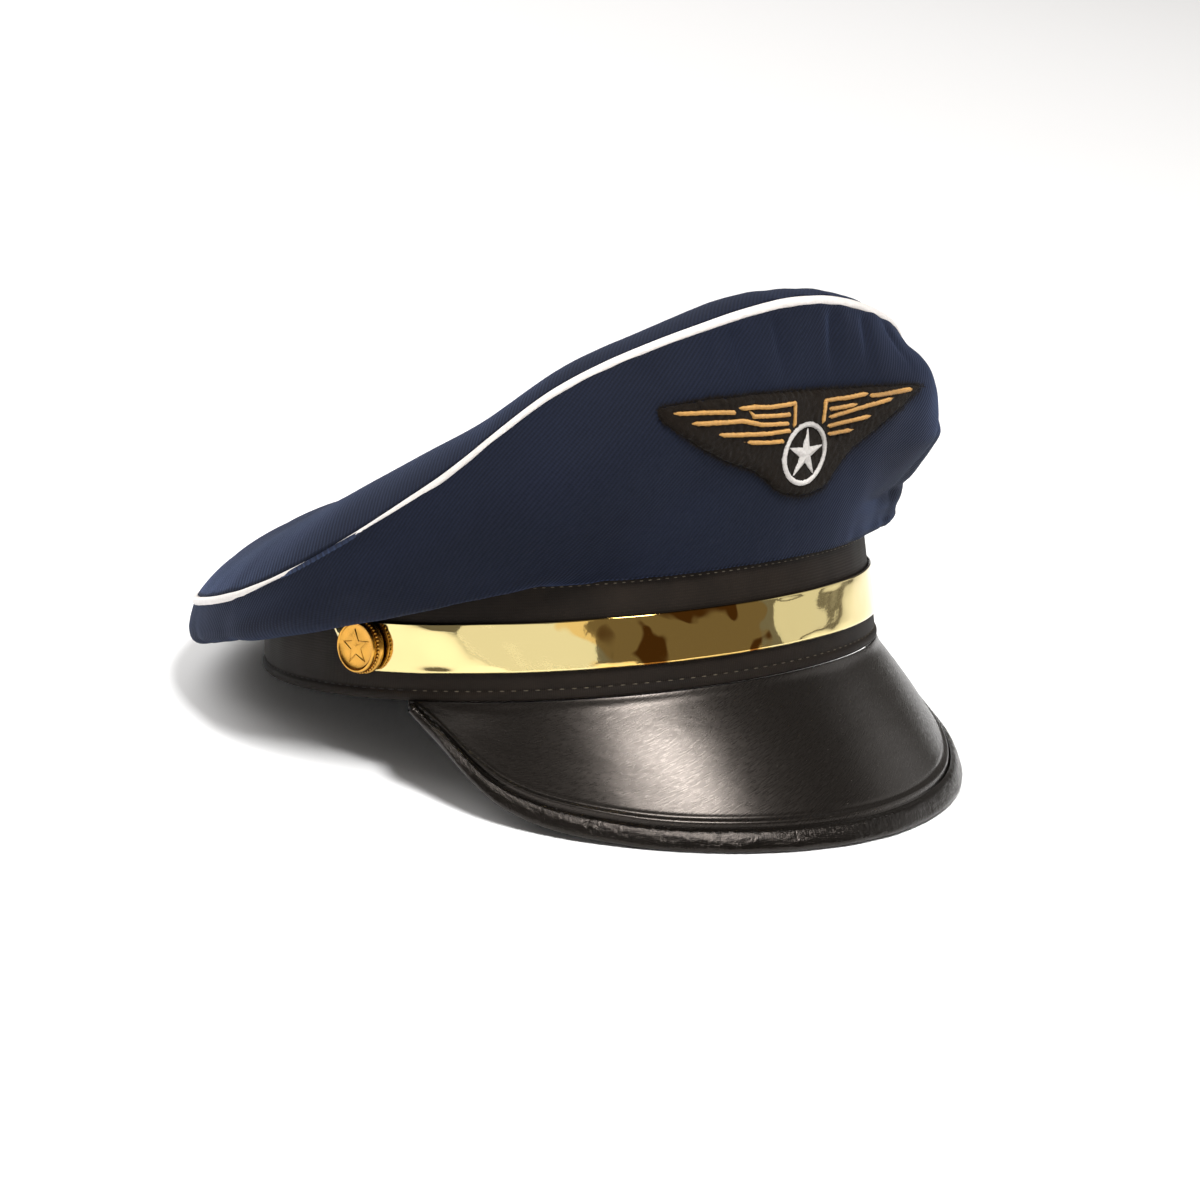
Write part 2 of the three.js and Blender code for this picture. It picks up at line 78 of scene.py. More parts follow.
softboxes = (  # name, place, target, width and height in metres, power in watts
    ("softbox_above", (0.0, 2.0, 2.3), (0, 0.2, 0), 4.4, 2.8, 99),
    ("softbox_key", (-0.25, -0.55, 1.05), (0, -0.08, 0.03), 0.26, 0.42, 18),
    ("softbox_left", (-1.75, -0.85, 0.35), (0, 0, 0.05), 1.8, 0.9, 4.7),
    ("softbox_right", (1.75, -0.90, 0.65), (0, 0, 0.05), 1.9, 1.2, 5.3),
)


def add_camera():
    ahead = Vector((math.sin(VIEW_TURN) * math.cos(VIEW_DOWN),
                    math.cos(VIEW_TURN) * math.cos(VIEW_DOWN), -math.sin(VIEW_DOWN)))
    level = Vector((math.cos(VIEW_TURN), -math.sin(VIEW_TURN), 0))
    upright = level.cross(ahead)
    right = level * math.cos(VIEW_ROLL) + upright * math.sin(VIEW_ROLL)
    up = upright * math.cos(VIEW_ROLL) - level * math.sin(VIEW_ROLL)
    beside = (PICTURE_PIXELS / 2 - CAP_PIXEL[0]) / FOCAL_PIXELS
    above = (CAP_PIXEL[1] - PICTURE_PIXELS / 2) / FOCAL_PIXELS
    look = (ahead + right * beside + up * above).normalized()
    right = (right - look * right.dot(look)).normalized()
    up = right.cross(look)
    turn = rest_turn @ Matrix((right, up, -look)).transposed()
    lens = bpy.data.cameras.new("camera")
    lens.sensor_width = SENSOR_WIDTH
    lens.lens = FOCAL_PIXELS / PICTURE_PIXELS * SENSOR_WIDTH
    lens.clip_start = 0.05
    camera = bpy.data.objects.new("camera", lens)
    camera.matrix_world = Matrix.Translation(at_rest(ahead * -VIEW_DISTANCE)) @ turn.to_4x4()
    bpy.context.scene.collection.objects.link(camera)
    bpy.context.scene.camera = camera


def add_softbox(name, place, target, width, height, power):
    panel = bpy.data.lights.new(name, "AREA")
    panel.shape = "RECTANGLE"
    panel.size = width
    panel.size_y = height
    panel.energy = power
    lamp = bpy.data.objects.new(name, panel)
    lamp.location = place
    lamp.rotation_euler = (Vector(target) - Vector(place)).to_track_quat("-Z", "Y").to_euler()
    bpy.context.scene.collection.objects.link(lamp)


def colour(code):
    """A colour from its usual six-figure code, in the linear values that a material takes"""
    shares = [int(code[start:start + 2], 16) / 255 for start in (1, 3, 5)]
    return [s / 12.92 if s <= 0.04045 else ((s + 0.055) / 1.055) ** 2.4 for s in shares] + [1.0]


def new_finish(name, base="#808080", rough=0.5, **sockets):
    """A material with its even values set on the shader itself"""
    finish = bpy.data.materials.new(name)
    finish.use_nodes = True
    surface = finish.node_tree.nodes["Principled BSDF"]
    surface.inputs["Base Color"].default_value = colour(base)
    surface.inputs["Roughness"].default_value = rough
    for socket, value in sockets.items():
        surface.inputs[socket.replace("_", " ")].default_value = value
    return finish


add_camera()

room = bpy.data.worlds.new("room")
room.use_nodes = True
backdrop = room.node_tree.nodes["Background"].inputs
backdrop["Color"].default_value = ROOM_COLOUR
backdrop["Strength"].default_value = ROOM_STRENGTH
bpy.context.scene.world = room
bpy.context.scene.view_settings.view_transform = "Standard"

for softbox in softboxes:
    add_softbox(*softbox)

floor_net = bmesh.new()
bmesh.ops.create_grid(floor_net, x_segments=1, y_segments=1, size=FLOOR_HALF)
floor_mesh = bpy.data.meshes.new("floor")
floor_net.to_mesh(floor_mesh)
floor_net.free()
floor = bpy.data.objects.new("floor", floor_mesh)
bpy.context.scene.collection.objects.link(floor)
# Pale matt paper, plain enough that only the cap's soft shadow shows on it
paper = new_finish("pale_floor", "#f6f6f6", 0.9)
floor.data.materials.append(paper)


# Hat band
# A band of dark close-woven cloth round the head, its lower edge rolled over and stitched
# through, its upper edge turned in under the crown.
BAND_HEIGHT = 33.3
BAND_WALL = 2.0
BAND_CUT = 72
BAND_THREAD = 0.62
HEM_HEIGHT = 3.0
HEM_STITCH_OUT = 1.75
HEM_STITCH_PITCH = 3.4
FULL_TURN = 2 * math.pi
# Blender's wave texture repeats at every WAVE_UNIT / scale, so WAVE_UNIT / pitch gives the pitch
WAVE_UNIT = 0.314


def oval(angle, outward=0.0, height=0.0):
    """A place that stands out from the head's oval; angle 0 is the front, 90 the wearer's right"""
    x = -HEAD_WIDTH / 2 * math.sin(angle) * (1 + FRONT_FULLNESS * math.cos(angle))
    y = -HEAD_LENGTH / 2 * math.cos(angle)
    facing = oval_facing(angle)
    return Vector((x + facing.x * outward, y + facing.y * outward, height))


def oval_facing(angle):
    slope_x = -HEAD_WIDTH / 2 * (math.cos(angle) + FRONT_FULLNESS * math.cos(2 * angle))
    slope_y = HEAD_LENGTH / 2 * math.sin(angle)
    return Vector((-slope_y, slope_x, 0)).normalized()


def walked_lengths(points):
    """The length walked from the first point to each point"""
    lengths = [0.0]
    for one, other in zip(points, points[1:]):
        lengths.append(lengths[-1] + (other - one).length)
    return lengths


# Lengths along the oval at each tenth of a degree, for stitches and weaves of an even size
TENTHS = 3600
arc_lengths = walked_lengths([oval(math.radians(tenth / 10)) for tenth in range(TENTHS + 1)])
OVAL_LENGTH = arc_lengths[-1]


def arc_length(angle):
    turns, place = divmod(angle / FULL_TURN * TENTHS, TENTHS)
    low = int(place)
    part = place - low
    return turns * OVAL_LENGTH + arc_lengths[low] * (1 - part) + arc_lengths[low + 1] * part


def angle_at(length):
    """The angle at a length along the oval, from -half to half of it"""
    low, high = -math.pi, math.pi
    for _ in range(30):
        middle = (low + high) / 2
        if arc_length(middle) < length:
            low = middle
        else:
            high = middle
    return (low + high) / 2


def band_out(height):
    return FOOT_FLARE * (1 - min(height, BAND_HEIGHT) / BAND_HEIGHT)


def bent_net(across, along, place, size):
    """A net of across by along faces, bent so that each corner lies where place(s, t) says.
    size(s, t) gives the cloth's own lengths there in millimetres, for its weave."""
    net = bmesh.new()
    uv = net.loops.layers.uv.new("UVMap")
    bmesh.ops.create_grid(net, x_segments=across, y_segments=along, size=0.5, calc_uvs=True)
    for face in net.faces:
        for loop in face.loops:
            loop[uv].uv = size(*loop[uv].uv)
    for corner in net.verts:
        corner.co = at_rest(place(corner.co.x + 0.5, corner.co.y + 0.5))
    bmesh.ops.remove_doubles(net, verts=net.verts, dist=2e-6)
    return net


def finish_piece(name, net, finish, stands_for=(), thickness=0.0, inward=1.0, smooth=True):
    """Puts a net into the scene as one piece, with its thickness in millimetres where it is cloth"""
    mesh = bpy.data.meshes.new(name)
    for face in net.faces:
        face.smooth = smooth
    net.to_mesh(mesh)
    net.free()
    mesh.materials.append(finish)
    piece = bpy.data.objects.new(name, mesh)
    bpy.context.scene.collection.objects.link(piece)
    if thickness:
        wall = piece.modifiers.new("cloth thickness", "SOLIDIFY")
        wall.thickness = thickness / 1000
        wall.offset = -inward
    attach(piece, "root")
    if stands_for:
        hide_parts(*stands_for)
    return piece


def spline(points, t):
    """A smooth curve through points, at t from 0 to 1"""
    last = len(points) - 1
    place = min(max(t, 0.0), 1.0) * last
    step = min(int(place), last - 1)
    w = place - step
    p0, p1 = points[max(step - 1, 0)], points[step]
    p2, p3 = points[step + 1], points[min(step + 2, last)]
    v0, v1 = (p2 - p0) * 0.5, (p3 - p1) * 0.5
    return ((p1 - p2) * 2 + v0 + v1) * w ** 3 + ((p2 - p1) * 3 - v0 * 2 - v1) * w * w + v0 * w + p1


# The band's section from its upper edge inside, round the rolled hem, to its upper edge outside
band_section = [Vector(place) for place in (
    (-2.0, 34.3), (-1.4, 24.0), (-0.8, 14.0), (-0.2, 5.0), (0.3, 1.6), (0.9, 0.2), (1.6, 0.0),
    (2.25, 0.4), (2.5, 1.3), (2.35, 2.2), (1.9, 2.75), (1.62, 3.0), (1.72, 3.3), (1.8, 4.0),
    (1.7, 6.0), (1.5, 9.0), (1.2, 13.0), (0.9, 18.0), (0.6, 23.0), (0.3, 28.0), (0.06, 32.0),
    (0.0, 34.3),
)]


def band_place(s, t):
    angle = -FULL_TURN * s
    section = spline(band_section, t)
    crinkle = noise.noise(Vector((math.cos(angle) * 9, math.sin(angle) * 9, t * 3))) * 0.25
    return oval(angle, section.x + crinkle * min(section.y / 8, 1), section.y)


def band_size(s, t):
    return s * OVAL_LENGTH, t * BAND_CUT


def add_node(finish, kind, options=None, **sockets):
    """Adds one node with its options, sets or links its sockets, where i6 means socket number 6,
    and gives its outputs"""
    tree = finish.node_tree
    made = tree.nodes.new("ShaderNode" + kind)
    for option, choice in (options or {}).items():
        setattr(made, option, choice)
    for socket, value in sockets.items():
        numbered = socket[0] == "i" and socket[1:].isdigit()
        place = made.inputs[int(socket[1:]) if numbered else socket.replace("_", " ")]
        if isinstance(value, bpy.types.NodeSocket):
            tree.links.new(value, place)
        else:
            place.default_value = value
    return made.outputs


def wire(finish, **sockets):
    """Links outputs to the shader's own sockets"""
    surface = finish.node_tree.nodes["Principled BSDF"]
    for socket, output in sockets.items():
        finish.node_tree.links.new(output, surface.inputs[socket.replace("_", " ")])


def wire_tone_and_relief(finish, share, low, high, height, depth, strength):
    """Colours a finish between two tones by a share, and raises it by a height and depth in metres"""
    wire(finish,
         Base_Color=add_node(finish, "Mix", {"data_type": "RGBA"}, i0=share, i6=colour(low),
                             i7=colour(high))[2],
         Normal=add_node(finish, "Bump", Height=height, Distance=depth, Strength=strength)[0])


# Brown-black worsted in a fine plain weave: matt, with a little shine where it is rubbed
band_cloth = new_finish("band_cloth", "#1a1512", 0.62, Specular_IOR_Level=0.12)
weave_place = add_node(band_cloth, "UVMap")[0]
warp, weft = (add_node(band_cloth, "TexWave", {"bands_direction": way, "wave_profile": "SIN"},
                       Vector=weave_place, Scale=WAVE_UNIT / BAND_THREAD, Distortion=0.4,
                       Detail=1.0)["Fac"] for way in "XY")
threads = add_node(band_cloth, "Math", {"operation": "MULTIPLY"}, i0=warp, i1=weft)[0]
mottle = add_node(band_cloth, "TexNoise", Vector=weave_place, Scale=0.08, Detail=5.0)[0]
shade = add_node(band_cloth, "Math", {"operation": "MULTIPLY_ADD"}, i0=threads, i1=0.45, i2=mottle)[0]
wire_tone_and_relief(band_cloth, shade, "#080604", "#1f1812", threads, 0.00007, 0.8)

band = finish_piece("hat_band_cloth", bent_net(420, 66, band_place, band_size), band_cloth,
                    ["hat_band"])


def add_stitches(name, places, finish, length=1.5, thick=0.32):
    """Short stitches: each is a small pill of thread that lies from one place towards the next"""
    net = bmesh.new()
    for place, along, facing in places:
        across = facing.cross(along).normalized()
        turn = Matrix((along.normalized(), across, along.cross(across).normalized())).transposed()
        shape = Matrix.Diagonal((length / 2, thick / 2, thick / 2, 1))
        seat = rest_turn.to_4x4() @ turn.to_4x4() @ shape
        bmesh.ops.create_icosphere(net, subdivisions=2, radius=0.001,
                                   matrix=Matrix.Translation(at_rest(place)) @ seat)
    return finish_piece(name, net, finish)


def stitch_places(first, last, pitch, outward, height):
    """Places along the oval from one angle to another, even in length"""
    begin, end = arc_length(math.radians(first)), arc_length(math.radians(last))
    count = int(abs(end - begin) / pitch)
    places = []
    for number in range(count + 1):
        angle = angle_at(begin + (end - begin) * number / count)
        place = oval(angle, outward, height)
        along = oval(angle + 0.01, outward, height) - place
        places.append((place, along.normalized(), oval_facing(angle)))
    return places


def thread_ply(finish):
    """The fine grain that stands for the twist of a thread"""
    place = add_node(finish, "TexCoord")["Object"]
    return add_node(finish, "TexNoise", Vector=place, Scale=900.0, Detail=2.0)[0]


# Pale waxed linen thread for the front of the hem, matt and darker brown where its ply grain sinks
pale_thread = new_finish("pale_thread", "#6f675c", 0.7, Specular_IOR_Level=0.2)
ply = thread_ply(pale_thread)
wire_tone_and_relief(pale_thread, ply, "#2a251f", "#6b6355", ply, 0.0001, 1.0)
# Dark brown linen thread for the back of the hem
dark_thread = new_finish("dark_thread", "#171310", 0.7)
wire(dark_thread, Normal=add_node(dark_thread, "Bump", Height=thread_ply(dark_thread),
                                  Distance=0.0001, Strength=1.0)[0])


def hem_stitches(first, last):
    return stitch_places(first, last, HEM_STITCH_PITCH, HEM_STITCH_OUT, HEM_HEIGHT)


add_stitches("hem_stitches_front", hem_stitches(-72, 72), pale_thread, 1.5)
add_stitches("hem_stitches_back", hem_stitches(75, 180) + hem_stitches(-75, -178), dark_thread,
             2.2)


# Peak
# One moulded sheet of glossy black vinyl over board, sewn under the band's foot. It is arched
# and drops towards its corners; a narrow ridge runs round it inside the binding.
PEAK_HALF_WIDTH = 93.6
PEAK_ROOT = math.radians(74)
PEAK_SHEET = 1.4
PEAK_ARCH = 2.5
CLEARANCE = 0.3
BINDING_WIDTH = 4.9
BINDING_SHEET = 0.6
BINDING_TUCK_UNDER = 0.55
BINDING_REACH = 0.85
PEAK_RIDGE = 0.55
PEAK_ROOT_PRESS = 0.75
VINYL_TINT = "#f6e8dd"

peak_edge_rows = (  # across, forward, down
    (0.00, 1.00, 1.00), (0.41, 0.93, 0.96), (0.75, 0.74, 0.845), (0.945, 0.515, 0.61),
    (0.99, 0.26, 0.03),
)
half_edge = [Vector((across * PEAK_HALF_WIDTH, -forward * PEAK_FRONT, -down * PEAK_DROP))
             for across, forward, down in peak_edge_rows]
peak_edge = [Vector((-p.x, p.y, p.z)) for p in reversed(half_edge)] + half_edge[1:]


def even_spline(points, share):
    """A smooth curve through uneven points, with each stretch weighted by its own length"""
    last = len(points) - 1
    place = min(max(share, 0.0), 1.0) * last
    step = min(int(place), last - 1)
    w = place - step
    p1, p2 = points[step], points[step + 1]
    p0 = points[step - 1] if step else p1 * 2 - p2
    p3 = points[step + 2] if step + 2 <= last else p2 * 2 - p1
    d0, d1, d2 = ((b - a).length ** 0.5 for a, b in ((p0, p1), (p1, p2), (p2, p3)))
    t1 = ((p1 - p0) / d0 - (p2 - p0) / (d0 + d1) + (p2 - p1) / d1) * d1
    t2 = ((p2 - p1) / d1 - (p3 - p1) / (d1 + d2) + (p3 - p2) / d2) * d1
    return (p1 * 2 + t1 - p2 * 2 + t2) * w ** 3 + (p2 * 3 - p1 * 3 - t1 * 2 - t2) * w * w + t1 * w + p1


def peak_place(across, forward):
    """A place in the middle of the peak's sheet: across from the wearer's right, and forward
    from the root"""
    root = oval(PEAK_ROOT * (1 - 2 * across), FOOT_FLARE - BAND_WALL / 2, -CLEARANCE - PEAK_SHEET / 2)
    edge = even_spline(peak_edge, across)
    place = root.lerp(edge, forward)
    place.z += PEAK_ARCH * 4 * forward * (1 - forward) * math.sin(math.pi * min(max(across, 0), 1))
    return place


def peak_facing(across, forward):
    nudge = 0.002
    before = peak_place(max(across - nudge, 0), forward)
    after = peak_place(min(across + nudge, 1), forward)
    under = peak_place(across, max(forward - nudge, 0))
    over = peak_place(across, min(forward + nudge, 1))
    return (over - under).cross(after - before).normalized()


def peak_span(across):
    length = (peak_place(across, 1) - peak_place(across, 0)).length
    return length, min(BINDING_WIDTH, length * BINDING_REACH)


def peak_top(s, t):
    across = 1 - s
    length, bound = peak_span(across)
    inward = (1 - t) * length - bound
    place = peak_place(across, t)
    # The ridge stands between two pressed grooves, and all three fade out at the short ends
    ridge = PEAK_RIDGE * math.exp(-((inward - 1.6) / 0.75) ** 2)
    ridge += (-0.25 * math.exp(-((inward - 0.1) / 0.5) ** 2)
              - 0.2 * math.exp(-((inward - 3.2) / 0.5) ** 2))
    fade = min(1, length / 20)
    wave = noise.noise(Vector((across * 5, t * 2.2, 3))) * 0.25 * t
    under_hem = PEAK_ROOT_PRESS * math.exp(-(t * length / 2.2) ** 2)
    return place + peak_facing(across, t) * (ridge * fade + under_hem + wave + PEAK_SHEET / 2)


def peak_size(s, t):
    return s * 2 * PEAK_HALF_WIDTH * 1.4, t * 92


# Glossy black vinyl: a warm sheen, fine slanting drag marks, shallow dents and specks of dust
gloss_vinyl = new_finish("gloss_vinyl", "#0b0a09", 0.3, Specular_Tint=colour(VINYL_TINT))
vinyl_place = add_node(gloss_vinyl, "UVMap")[0]
dragged = add_node(gloss_vinyl, "Mapping", {"vector_type": "TEXTURE"}, Vector=vinyl_place,
                   Rotation=(0, 0, math.radians(42)), Scale=(3.6, 0.55, 1))[0]
streaks = add_node(gloss_vinyl, "TexNoise", Vector=dragged, Scale=1.0, Detail=6.0,
                   Roughness=0.65)[0]
dents = add_node(gloss_vinyl, "TexNoise", Vector=vinyl_place, Scale=0.05, Detail=3.0)[0]
specks = add_node(gloss_vinyl, "TexVoronoi", Vector=vinyl_place, Scale=0.22)["Distance"]
speck_share = add_node(gloss_vinyl, "MapRange", Value=specks, i1=0.035, i2=0.02)[0]
dented = add_node(gloss_vinyl, "Bump", Height=dents, Distance=0.0004,
                  Strength=0.6)["Normal"]
wire(gloss_vinyl,
     Base_Color=add_node(gloss_vinyl, "Mix", {"data_type": "RGBA"}, i0=speck_share,
                         i6=colour("#070605"), i7=colour("#5f5a54"))[2],
     Roughness=add_node(gloss_vinyl, "MapRange", Value=streaks, i1=0.3, i2=0.7, i3=0.22,
                        i4=0.36)[0],
     Normal=add_node(gloss_vinyl, "Bump", Height=streaks, Distance=0.00004, Strength=1.0,
                     Normal=dented)["Normal"])

finish_piece("peak_sheet", bent_net(180, 150, peak_top, peak_size), gloss_vinyl,
             ["peak"], thickness=PEAK_SHEET)


# Peak binding
# A strip of the same vinyl folded over the peak's outer edge, pulled into small crinkles by the
# stitches along its inner edge.
BINDING_STITCHES = 118
BINDING_STITCH_INSET = 1.3


def binding_place(s, t):
    across = 1 - s
    length, width = peak_span(across)
    outward = (peak_place(across, 1) - peak_place(across, 1 - 1 / length)).normalized()
    half = PEAK_SHEET / 2 + CLEARANCE + BINDING_SHEET
    run = 2 * width + math.pi * half
    walked = t * run
    fade = min(1, length / 25)
    crinkle = noise.noise(Vector((across * 34, t * 5, 1))) * 0.16
    crinkle += noise.noise(Vector((across * 110, t * 16, 5))) * 0.10
    if walked < width:
        inward, side = width - walked, 1
    elif walked > run - width:
        inward, side = walked - (run - width), -1
    else:
        turn = (walked - width) / half
        facing = peak_facing(across, 1)
        swell = half - BINDING_TUCK_UNDER * turn / math.pi + crinkle * fade
        fold = facing * math.cos(turn) * swell + outward * math.sin(turn) * swell
        return peak_place(across, 1) + fold
    forward = 1 - inward / length
    tuck = 0.5 * math.exp(-((width - inward) / 0.8) ** 2)
    calm = min(1, (width - inward) / 1.5)
    puffed = 0.3 * math.sin(math.pi * min(inward / width, 1)) * fade * max(side, 0)
    flat = half if side == 1 else half - BINDING_TUCK_UNDER
    swell = flat - tuck * max(side, 0) + puffed + crinkle * fade * calm
    return peak_place(across, forward) + peak_facing(across, forward) * swell * side


def binding_size(s, t):
    return s * 360, t * 20


# The same vinyl in a thinner sheet: smoother, with short creases across the fold
binding_vinyl = new_finish("binding_vinyl", "#050403", 0.2, Specular_IOR_Level=0.36,
                           Specular_Tint=colour(VINYL_TINT))
binding_map = add_node(binding_vinyl, "UVMap")[0]
pulled = add_node(binding_vinyl, "Mapping", {"vector_type": "TEXTURE"}, Vector=binding_map,
                  Rotation=(0, 0, math.radians(-12)), Scale=(1.1, 2.6, 1))[0]
creases = add_node(binding_vinyl, "TexNoise", Vector=pulled, Scale=1.0, Detail=5.0,
                   Roughness=0.6)[0]
wire(binding_vinyl,
     Roughness=add_node(binding_vinyl, "MapRange", Value=creases, i1=0.3, i2=0.7, i3=0.12,
                        i4=0.26)[0],
     Normal=add_node(binding_vinyl, "Bump", Height=creases, Distance=0.0003,
                     Strength=1.0)["Normal"])

finish_piece("peak_binding_strip", bent_net(420, 36, binding_place, binding_size),
             binding_vinyl, ["peak_binding"])

peak_stitches = []
for number in range(BINDING_STITCHES):
    across = 0.012 + 0.976 * number / (BINDING_STITCHES - 1)
    length, width = peak_span(across)
    forward = 1 - (width - BINDING_STITCH_INSET) / length
    facing = peak_facing(across, forward)
    place = peak_place(across, forward) + facing * (PEAK_SHEET / 2 + CLEARANCE + BINDING_SHEET - 0.02)
    along = peak_place(across + 0.004, forward) - peak_place(across, forward)
    peak_stitches.append((place, along.normalized(), facing))
add_stitches("binding_stitches", peak_stitches, dark_thread, 1.6, 0.4)


# Strap
# A flat strap covered in gilt foil, laid round the front of the band and held down by a button
# near each end. The foil isn't quite flat, so what it mirrors is broken into waves.
STRAP_HEIGHT = 14.3
STRAP_FOOT = 8.3
STRAP_THICKNESS = 0.8
STRAP_REACH = math.radians(91)
STRAP_SLANT = math.radians(6)
STRAP_HALF_LENGTH = 146


def strap_place(s, t):
    rise = 1 - abs(2 * t - 1)
    reach = STRAP_REACH - STRAP_SLANT * (1 - t)
    angle = reach * (1 - 2 * s)
    height = STRAP_FOOT + STRAP_HEIGHT * t
    ripple = noise.noise(Vector((angle * 5.5, t * 0.8, 2))) * 0.35
    ripple += noise.noise(Vector((angle * 17, t * 1.8, 7))) * 0.09
    crown = 0.08 * (1 - (2 * t - 1) ** 4)
    outward = band_out(height) + CLEARANCE + STRAP_THICKNESS + ripple * min(1, rise * 4) + crown
    return oval(angle, outward, height)


def strap_size(s, t):
    return s * 2 * STRAP_HALF_LENGTH, t * STRAP_HEIGHT


# Pale gilt mirror foil over a stiff strap. A stretch near the front is painted a deeper yellow with
# brown blots, a painted reflection of the darker room, and its top edge is painted dark, as painted
# shade that hides the edge's bright reflection. The shares run along the strap in millimetres.
gilt_foil = new_finish("gilt_foil", "#e6d29b", 0.06, Metallic=1.0)
foil_map = add_node(gilt_foil, "UVMap")[0]
strap_x, strap_y = add_node(gilt_foil, "SeparateXYZ", Vector=foil_map)[:2]
# Painted reflection: the blots and the deeper yellow stretch stand in for the darker room mirrored in
# the foil
reflection_blots = add_node(gilt_foil, "TexNoise", Vector=foil_map, Scale=0.085, Detail=1.5,
                 Distortion=0.7)[0]
reflection_zone_wobble = add_node(gilt_foil, "TexNoise", Vector=foil_map, Scale=0.12, Detail=1.0)[0]
reflection_zone_place = add_node(gilt_foil, "Math", {"operation": "MULTIPLY_ADD"}, i0=reflection_zone_wobble, i1=34.0,
                      i2=strap_x)[0]
reflection_zone_in, reflection_zone_out, reflection_blot_share = (
    add_node(gilt_foil, "MapRange", {"interpolation_type": "SMOOTHSTEP"}, Value=value, i1=first,
             i2=last)[0]
    for value, first, last in ((reflection_zone_place, 95.0, 99.0), (reflection_zone_place, 152.0, 149.0),
                               (reflection_blots, 0.54, 0.62)))
painted_reflection_zone = add_node(gilt_foil, "Math", {"operation": "MULTIPLY"}, i0=reflection_zone_in, i1=reflection_zone_out)[0]
painted_dark_reflection = add_node(gilt_foil, "Math", {"operation": "MULTIPLY"}, i0=painted_reflection_zone, i1=reflection_blot_share)[0]
# Painted shade along the top edge, hiding the bright reflection that the edge catches from above
rim = add_node(gilt_foil, "MapRange", Value=strap_y, i1=STRAP_HEIGHT - 0.5,
               i2=STRAP_HEIGHT - 0.1)[0]
# The deeper yellow stretch and the brown blots are a painted reflection, and the dark top rim is
# painted shade
foil_tone = colour("#dccb90")
for share, tone in ((painted_reflection_zone, "#dcb768"), (painted_dark_reflection, "#83521c"), (rim, "#3a2a10")):
    foil_tone = add_node(gilt_foil, "MixRGB", Fac=share, Color1=foil_tone,
                         Color2=colour(tone))[0]
fine = add_node(gilt_foil, "TexNoise", Vector=foil_map, Scale=0.9, Detail=3.0)[0]
wire(gilt_foil, Base_Color=foil_tone,
     Normal=add_node(gilt_foil, "Bump", Height=fine, Distance=0.000015,
                     Strength=0.6)["Normal"])

finish_piece("strap_foil", bent_net(360, 24, strap_place, strap_size), gilt_foil,
             ["strap"], thickness=STRAP_THICKNESS)


# Buttons
# A stamped brass button on each end of the strap: a rolled flange, a milled step of small
# beads, a raised rim and a five-pointed star in the sunk face.
BUTTON_RADIUS = 8.2
BUTTON_STAND = 4.1
BUTTON_ANGLE = math.radians(82)
BUTTON_BEADS = 44
BEAD_RADIUS = 0.46
BEAD_RING = 0.925
STAR_POINTS = 5

button_rows = (  # radius, height, as shares
    (0.00, 0.00), (0.88, 0.00), (0.97, 0.03), (1.00, 0.11), (0.995, 0.20), (0.97, 0.29),
    (0.93, 0.36), (0.905, 0.46), (0.905, 0.62), (0.92, 0.72), (0.92, 0.86), (0.905, 0.94),
    (0.88, 0.99), (0.84, 1.00), (0.81, 0.97), (0.79, 0.88), (0.74, 0.84), (0.50, 0.87),
    (0.20, 0.90), (0.00, 0.91),
)


def star_outline(net, size, notch, height, turn):
    """Five-pointed star as a ring of ten corners"""
    ring = bmesh.ops.create_circle(net, segments=2 * STAR_POINTS, radius=1)["verts"]
    ring.sort(key=lambda corner: math.atan2(corner.co.y, corner.co.x))
    for number, corner in enumerate(ring):
        reach = size if number % 2 == 0 else size * notch
        angle = turn + number * math.pi / STAR_POINTS
        corner.co = Vector((reach * math.cos(angle), reach * math.sin(angle), height))
    return ring


def ring_edges(ring):
    return list(dict.fromkeys(edge for corner in ring for edge in corner.link_edges
                              if all(end in ring for end in edge.verts)))


def raised_star(net, rows, turn):
    """A star built up from ring to ring and closed on top; rows give size, notch and height"""
    rings = [star_outline(net, size, notch, height, turn) for size, notch, height in rows]
    for outer, inner in zip(rings, rings[1:]):
        bmesh.ops.bridge_loops(net, edges=ring_edges(outer) + ring_edges(inner))
    bmesh.ops.contextual_create(net, geom=rings[-1])


def button_net():
    net = bmesh.new()
    corners = [net.verts.new((radius * BUTTON_RADIUS, 0, height * BUTTON_STAND))
               for radius, height in button_rows]
    edges = [net.edges.new(pair) for pair in zip(corners, corners[1:])]
    bmesh.ops.spin(net, geom=corners + edges, cent=(0, 0, 0), axis=(0, 0, 1), angle=FULL_TURN,
                   steps=72, use_merge=True)
    bmesh.ops.remove_doubles(net, verts=net.verts, dist=1e-4)
    face_height = 0.84 * BUTTON_STAND
    raised_star(net, [(BUTTON_RADIUS * size, notch, face_height + rise) for size, notch, rise in (
        (0.68, 0.44, 0.0), (0.62, 0.42, 0.42), (0.55, 0.38, 0.10), (0.05, 0.9, 0.42))],
                math.radians(20))
    for number in range(BUTTON_BEADS):
        turn = FULL_TURN * number / BUTTON_BEADS
        seat = (BEAD_RING * BUTTON_RADIUS * math.cos(turn), BEAD_RING * BUTTON_RADIUS * math.sin(turn),
                0.50 * BUTTON_STAND)
        bmesh.ops.create_uvsphere(net, u_segments=10, v_segments=6, radius=BEAD_RADIUS,
                                  matrix=Matrix.Translation(seat))
    bmesh.ops.recalc_face_normals(net, faces=net.faces)
    return net


# Stamped brass, satin on its crests, with a random stain and painted shade that darkens and browns it
# in its hollows
stamped_brass = new_finish("stamped_brass", "#d9a650", 0.26, Metallic=1.0)
brass_place = add_node(stamped_brass, "TexCoord")["Object"]
stain = add_node(stamped_brass, "TexNoise", Vector=brass_place, Scale=420.0,
                 Detail=4.0)[0]
